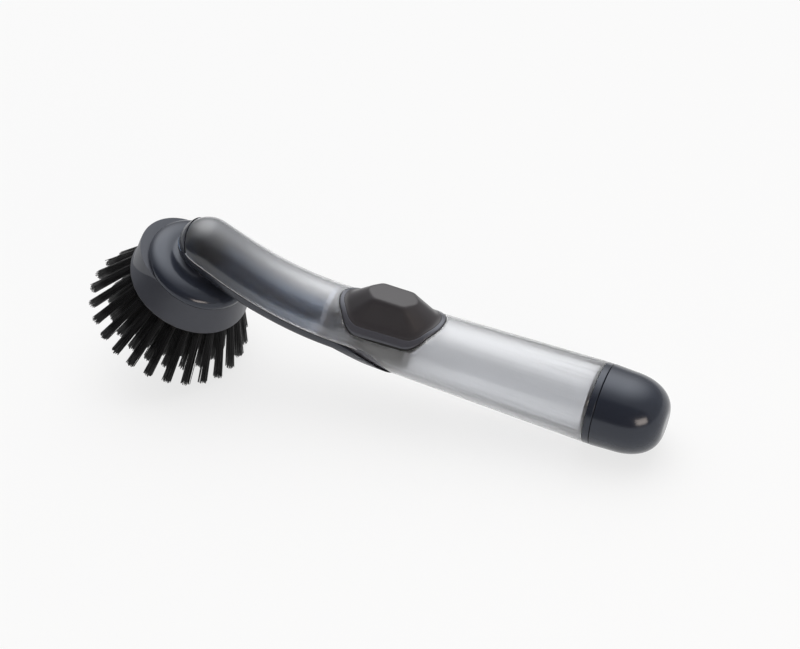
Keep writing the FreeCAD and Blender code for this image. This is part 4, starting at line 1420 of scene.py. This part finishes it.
@dataclass
class PumpBulb:
    """The soft bulb with its faceted top, and the rounded frame it comes up through."""

    centre: float = -91.4
    window: Hexagon = Hexagon(26.2, 15.4, 13.515, 10.8, 10.7)
    top: Hexagon = Hexagon(12.2, 6.8, 5.1, 3.0, 3.0)
    crest: float = 22.415
    frame_width: float = 1.8
    frame_crest: float = 0.5
    seam_width: float = 0.34
    seam_lift: float = 0.05
    wall: float = 1.8
    ledge: float = 5.84
    skirt_depth: float = 1.7
    hollow_top: float = 0.16
    hollow_inset: float = 0.1
    hollow_lift: float = 0.15
    hollow_rings: int = 6
    foot_inset: float = 2.8
    foot: float = 0.3
    edge: float = 0.9
    crown: float = 0.12
    crown_inset: float = 0.9
    wall_rings: int = 6
    wall_ease: float = 1.2
    still_below: float = 13.0
    moved_above: float = 0.3

    def on_tube(self, outline: Sequence[Point2], height: float) -> list[Vector]:
        """An outline laid on the tube.

        Args:
            outline: Its points, along the tube and across it.
            height: Height over the tube's surface. No point lies under the window's ledge.

        Returns:
            The points in the wand's axes.
        """
        ring = []
        for x, y in outline:
            radius = FORM.tube_radius(self.centre + x) + height
            height_here = math.sqrt(max(radius ** 2 - y ** 2, self.ledge ** 2))
            ring.append(Vector((self.centre + x, y, height_here)))
        return ring

    def level(self, outline: Sequence[Point2], height: float) -> list[Vector]:
        """An outline at one height over the tube's axis."""
        return [Vector((self.centre + x, y, height)) for x, y in outline]

    def around(self, section: Sequence[Point2]) -> list[list[Vector]]:
        """Rings of points round the window.

        Args:
            section: For each ring its inset from the window's edge and its height over the tube.

        Returns:
            The rings in the wand's axes.
        """
        return [self.on_tube(self.window.outline(inset), height) for inset, height in section]

    def frame_rings(self) -> list[list[Vector]]:
        """Rings of points round the frame: up its outer side, over its face, down its inner side.

        Returns:
            The rings in the wand's axes.
        """
        wide, lift = self.frame_width, self.frame_crest
        face = ((0.0, -self.wall), (0.0, -0.2), (0.02, 0.3 * lift), (0.08, 0.55 * lift), (0.2, 0.72 * lift),
                (0.4, 0.8 * lift), (0.8, 0.86 * lift), (wide - 0.4, 0.95 * lift), (wide - 0.1, lift),
                (wide - 0.03, 0.93 * lift), (wide, 0.7 * lift), (wide, -self.wall))
        return self.around(face)

    def seam_rings(self) -> list[list[Vector]]:
        """Rings of points round the thin black strip between the frame and the tube, a painted shadow line in
        the seam.

        Returns:
            The rings in the wand's axes.
        """
        face = ((-self.seam_width, -0.5), (-self.seam_width, 0.0), (-self.seam_width + 0.06, self.seam_lift),
                (-0.06, self.seam_lift), (0.0, 0.0), (0.0, -0.5))
        return self.around(face)

    def bulb_rings(self) -> list[list[Vector]]:
        """Rings of points from the skirt's lower edge, over the hollow at its foot, to the middle of the top.

        Returns:
            The rings in the wand's axes. The last is one point.
        """
        wide, lift = self.frame_width, self.frame_crest
        skirt = ((wide + 0.02, -self.skirt_depth), (wide + 0.02, -0.2), (wide + 0.02, 0.75 * lift),
                 (wide + 0.05, 0.95 * lift), (wide + 0.12, lift + 0.02))
        rings = self.around(skirt)
        foot = self.on_tube(self.window.outline(self.foot_inset), self.foot)
        shoulder = self.level(self.top.outline(-self.edge), self.crest - self.edge)
        hollow = self.on_tube(self.window.outline(self.foot_inset + self.hollow_inset),
                              self.foot + self.hollow_lift)
        wall = [a.lerp(b, self.hollow_top) for a, b in zip(foot, shoulder)]
        start = rings[-1]
        for k in range(1, self.hollow_rings + 1):
            t = k / self.hollow_rings
            rings.append([a.lerp(b, t).lerp(b.lerp(c, t), t) for a, b, c in zip(start, hollow, wall)])
        for k in range(1, self.wall_rings + 1):
            share = (k / self.wall_rings) ** self.wall_ease
            rings.append([a.lerp(b, share) for a, b in zip(wall, shoulder)])
        for inset, drop in ((-0.5, 0.46), (-0.15, 0.2), (0.3, 0.05), (self.crown_inset, 0.0)):
            rings.append(self.level(self.top.outline(inset), self.crest - self.crown - drop))
        inner = self.top.outline(self.crown_inset)
        for share in (0.66, 0.33):
            rise = self.crown * (1 - share ** 2)
            drawn_in = [(x * share, y * share) for x, y in inner]
            rings.append(self.level(drawn_in, self.crest - self.crown + rise))
        rings.append([Vector((self.centre, 0.0, self.crest))])
        return rings

    @staticmethod
    def lofted(name: str, rings: Sequence[Sequence[Vector]], hoop: bool) -> bpy.types.Object:
        """Piece with its skin over rings of points.

        Args:
            name: The piece's name.
            rings: The rings in the wand's axes.
            hoop: Whether the last ring joins the first. If not, a face closes the first.

        Returns:
            The new object.
        """
        def build(work: bmesh.types.BMesh) -> None:
            """Joins ring to ring.

            Args:
                work: The mesh to fill.
            """
            made = [[work.verts.new(p) for p in ring] for ring in rings]
            for ring, following in zip(made, made[1:]):
                bridge(work, ring, following)
            if hoop:
                bridge(work, made[-1], made[0])
            else:
                work.faces.new(made[0])

        return add_object(name, mesh_from(name, build, AXES.wand))

    def build(self, looks: Looks) -> None:
        """Lofts the frame, the strip in its seam and the bulb.

        Args:
            looks: The materials by name.
        """
        # The frame takes the lighter graphite, painted light.
        frame_piece = self.lofted("bulb_frame", self.frame_rings(), True)
        settle(frame_piece, Body.WAND, Slot.GRAPHITE, looks["graphite_painted_light"], "bulb_bezel")
        # A black strip in the seam: painted shadow.
        seam = self.lofted("frame_seam_shadow", self.seam_rings(), True)
        settle(seam, Body.WAND, Slot.GRAPHITE, looks["seam_painted_shadow"])
        bulb = self.lofted("squeeze_bulb", self.bulb_rings(), False)
        bulb.data.materials.append(looks["silicone"])
        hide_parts("pump_bulb")
        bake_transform(bulb)
        log.info("%s bends between wand and bulb, %d faces", bulb.name, len(bulb.data.polygons))


@dataclass
class Studio:
    """Floor, light and camera. The camera's place and turn are in the wand's axes."""

    camera_place: Point3 = (113.8, -557.9, 531.8)
    camera_back: Point3 = (0.2544, -0.7046, 0.6624)
    camera_up: Point3 = (-0.2995, 0.5939, 0.7467)
    lens: float = 84.84
    sensor: float = 36.0
    clip: Point2 = (0.01, 50.0)
    floor_size: float = 12.0
    paper: float = 0.8
    glow: float = 0.96
    shade_share: float = 0.21
    wall_half: float = 4.2
    wall_at: float = -1.5
    wall_height: float = 2.6
    cloth: Colour = (0.03, 0.03, 0.035)
    room: float = 0.45
    sky: float = 3.5
    sky_from: Point3 = (-0.14, 0.45, 0.88)
    sky_reach: Point2 = (0.5, 0.97)
    sky_power: float = 2.5
    window_place: Point3 = (0.78, -0.66, 0.26)
    window_aim: Point3 = (0.0, 0.0, 0.03)
    window_size: Point2 = (0.5, 0.26)
    window_power: float = 2.9
    window_colour: Colour = (1.0, 0.84, 0.7)

    @staticmethod
    def card(name: str, corners: Sequence[Point3], finish: bpy.types.Material) -> bpy.types.Object:
        """One flat card of the studio.

        Args:
            name: The card's name.
            corners: Its four corners.
            finish: Its material.

        Returns:
            The new object.
        """
        mesh = bpy.data.meshes.new(name)
        mesh.from_pydata(corners, [], [(0, 1, 2, 3)])
        mesh.materials.append(finish)
        return add_object(name, mesh)

    @staticmethod
    def seen(tree: Tree) -> Any:
        """Whether a ray shows the floor: from the camera, in a reflection or through the tube.

        Args:
            tree: The floor's tree.

        Returns:
            The output that gives 1 for such rays and 0 for others.
        """
        path = tree.add("ShaderNodeLightPath").outputs
        shown = tree.math("MAXIMUM", path["Is Camera Ray"], path["Is Transmission Ray"])
        return tree.math("MAXIMUM", shown, path["Is Glossy Ray"])

    def floor(self) -> None:
        """Pale floor that keeps the object's shadow."""
        made = bpy.data.materials.new("floor_paper")
        tree = Tree.blank(made)
        paper = tree.add("ShaderNodeBsdfDiffuse", {"Color": (self.paper, self.paper, self.paper, 1.0)})
        glow = tree.add("ShaderNodeEmission", {"Color": (1.0, 1.0, 1.0, 1.0), "Strength": self.glow})
        share = tree.math("MULTIPLY", self.seen(tree), 1.0 - self.shade_share)
        mixed = tree.add("ShaderNodeMixShader", {0: share, 1: paper.outputs[0], 2: glow.outputs[0]})
        tree.add("ShaderNodeOutputMaterial", {"Surface": mixed.outputs[0]})
        half = self.floor_size / 2
        corners = ((-half, -half, 0), (half, -half, 0), (half, half, 0), (-half, half, 0))
        piece = self.card("floor", corners, made)

    def dark_wall(self) -> None:
        """The unlit side of the studio, behind the camera, for the dark parts of reflections."""
        made = bpy.data.materials.new("dark_cloth")
        tree = Tree.blank(made)
        cloth = tree.add("ShaderNodeBsdfDiffuse", {"Color": (*self.cloth, 1.0)})
        tree.add("ShaderNodeOutputMaterial", {"Surface": cloth.outputs[0]})
        half, back, top = self.wall_half, self.wall_at, self.wall_height
        corners = ((-half, back, top), (half, back, top), (half, back, 0), (-half, back, 0))
        piece = self.card("dark_wall", corners, made)
        piece.visible_camera = False

    def world(self) -> None:
        """Pale room, brighter overhead and behind the object."""
        world = bpy.data.worlds.new("studio")
        tree = Tree.blank(world)
        facing = tree.add("ShaderNodeTexCoord").outputs["Generated"]
        near = tree.add("ShaderNodeVectorMath", {0: facing, 1: Vector(self.sky_from).normalized()},
                        operation="DOT_PRODUCT").outputs["Value"]
        low, high = self.sky_reach
        share = tree.add("ShaderNodeMapRange", {"Value": near, "From Min": low, "From Max": high}).outputs[0]
        share = tree.math("POWER", share, self.sky_power)
        lift = tree.math("MULTIPLY_ADD", share, self.sky - self.room, self.room)
        room = tree.add("ShaderNodeBackground", {"Color": (1.0, 1.0, 1.0, 1.0), "Strength": lift})
        tree.add("ShaderNodeOutputWorld", {"Surface": room.outputs[0]})
        bpy.context.scene.world = world

    def window(self) -> None:
        """Soft warm light from the front on the right."""
        data = bpy.data.lights.new("window", "AREA")
        data.shape = "RECTANGLE"
        data.size, data.size_y = self.window_size
        data.energy = self.window_power
        data.color = self.window_colour
        lamp = bpy.data.objects.new("window", data)
        lamp.location = self.window_place
        lamp.rotation_mode = "QUATERNION"
        facing = Vector(self.window_aim) - Vector(self.window_place)
        lamp.rotation_quaternion = facing.to_track_quat("-Z", "Y")
        lamp.visible_camera = False
        bpy.context.scene.collection.objects.link(lamp)

    def camera(self) -> None:
        """Camera at the photo's angle."""
        data = bpy.data.cameras.new("camera")
        data.sensor_width = self.sensor
        data.lens = self.lens
        data.clip_start, data.clip_end = self.clip
        piece = bpy.data.objects.new("camera", data)
        turn = AXES.wand.to_3x3()
        back = (turn @ Vector(self.camera_back)).normalized()
        right = (turn @ Vector(self.camera_up)).cross(back).normalized()
        facing = Matrix((right, back.cross(right), back)).transposed().to_4x4()
        piece.matrix_world = Matrix.Translation(AXES.wand @ Vector(self.camera_place)) @ facing
        bpy.context.scene.collection.objects.link(piece)
        bpy.context.scene.camera = piece

    def build(self) -> None:
        """Sets up the studio."""
        self.floor()
        self.world()
        self.dark_wall()
        self.window()
        self.camera()
        bpy.context.scene.view_settings.view_transform = "Standard"


def main() -> None:
    """Builds the sub-assemblies in order."""
    logging.basicConfig(level=logging.INFO, format="%(name)s: %(message)s")
    group = grain_group()
    looks = {finish.name: finish.material(group) for finish in FINISHES}
    for part in (Handle(), PumpBulb(), EndCap(), Seat(), BrushHead()):
        part.build(looks)
    Studio().build()


if __name__ == "__main__":
    main()
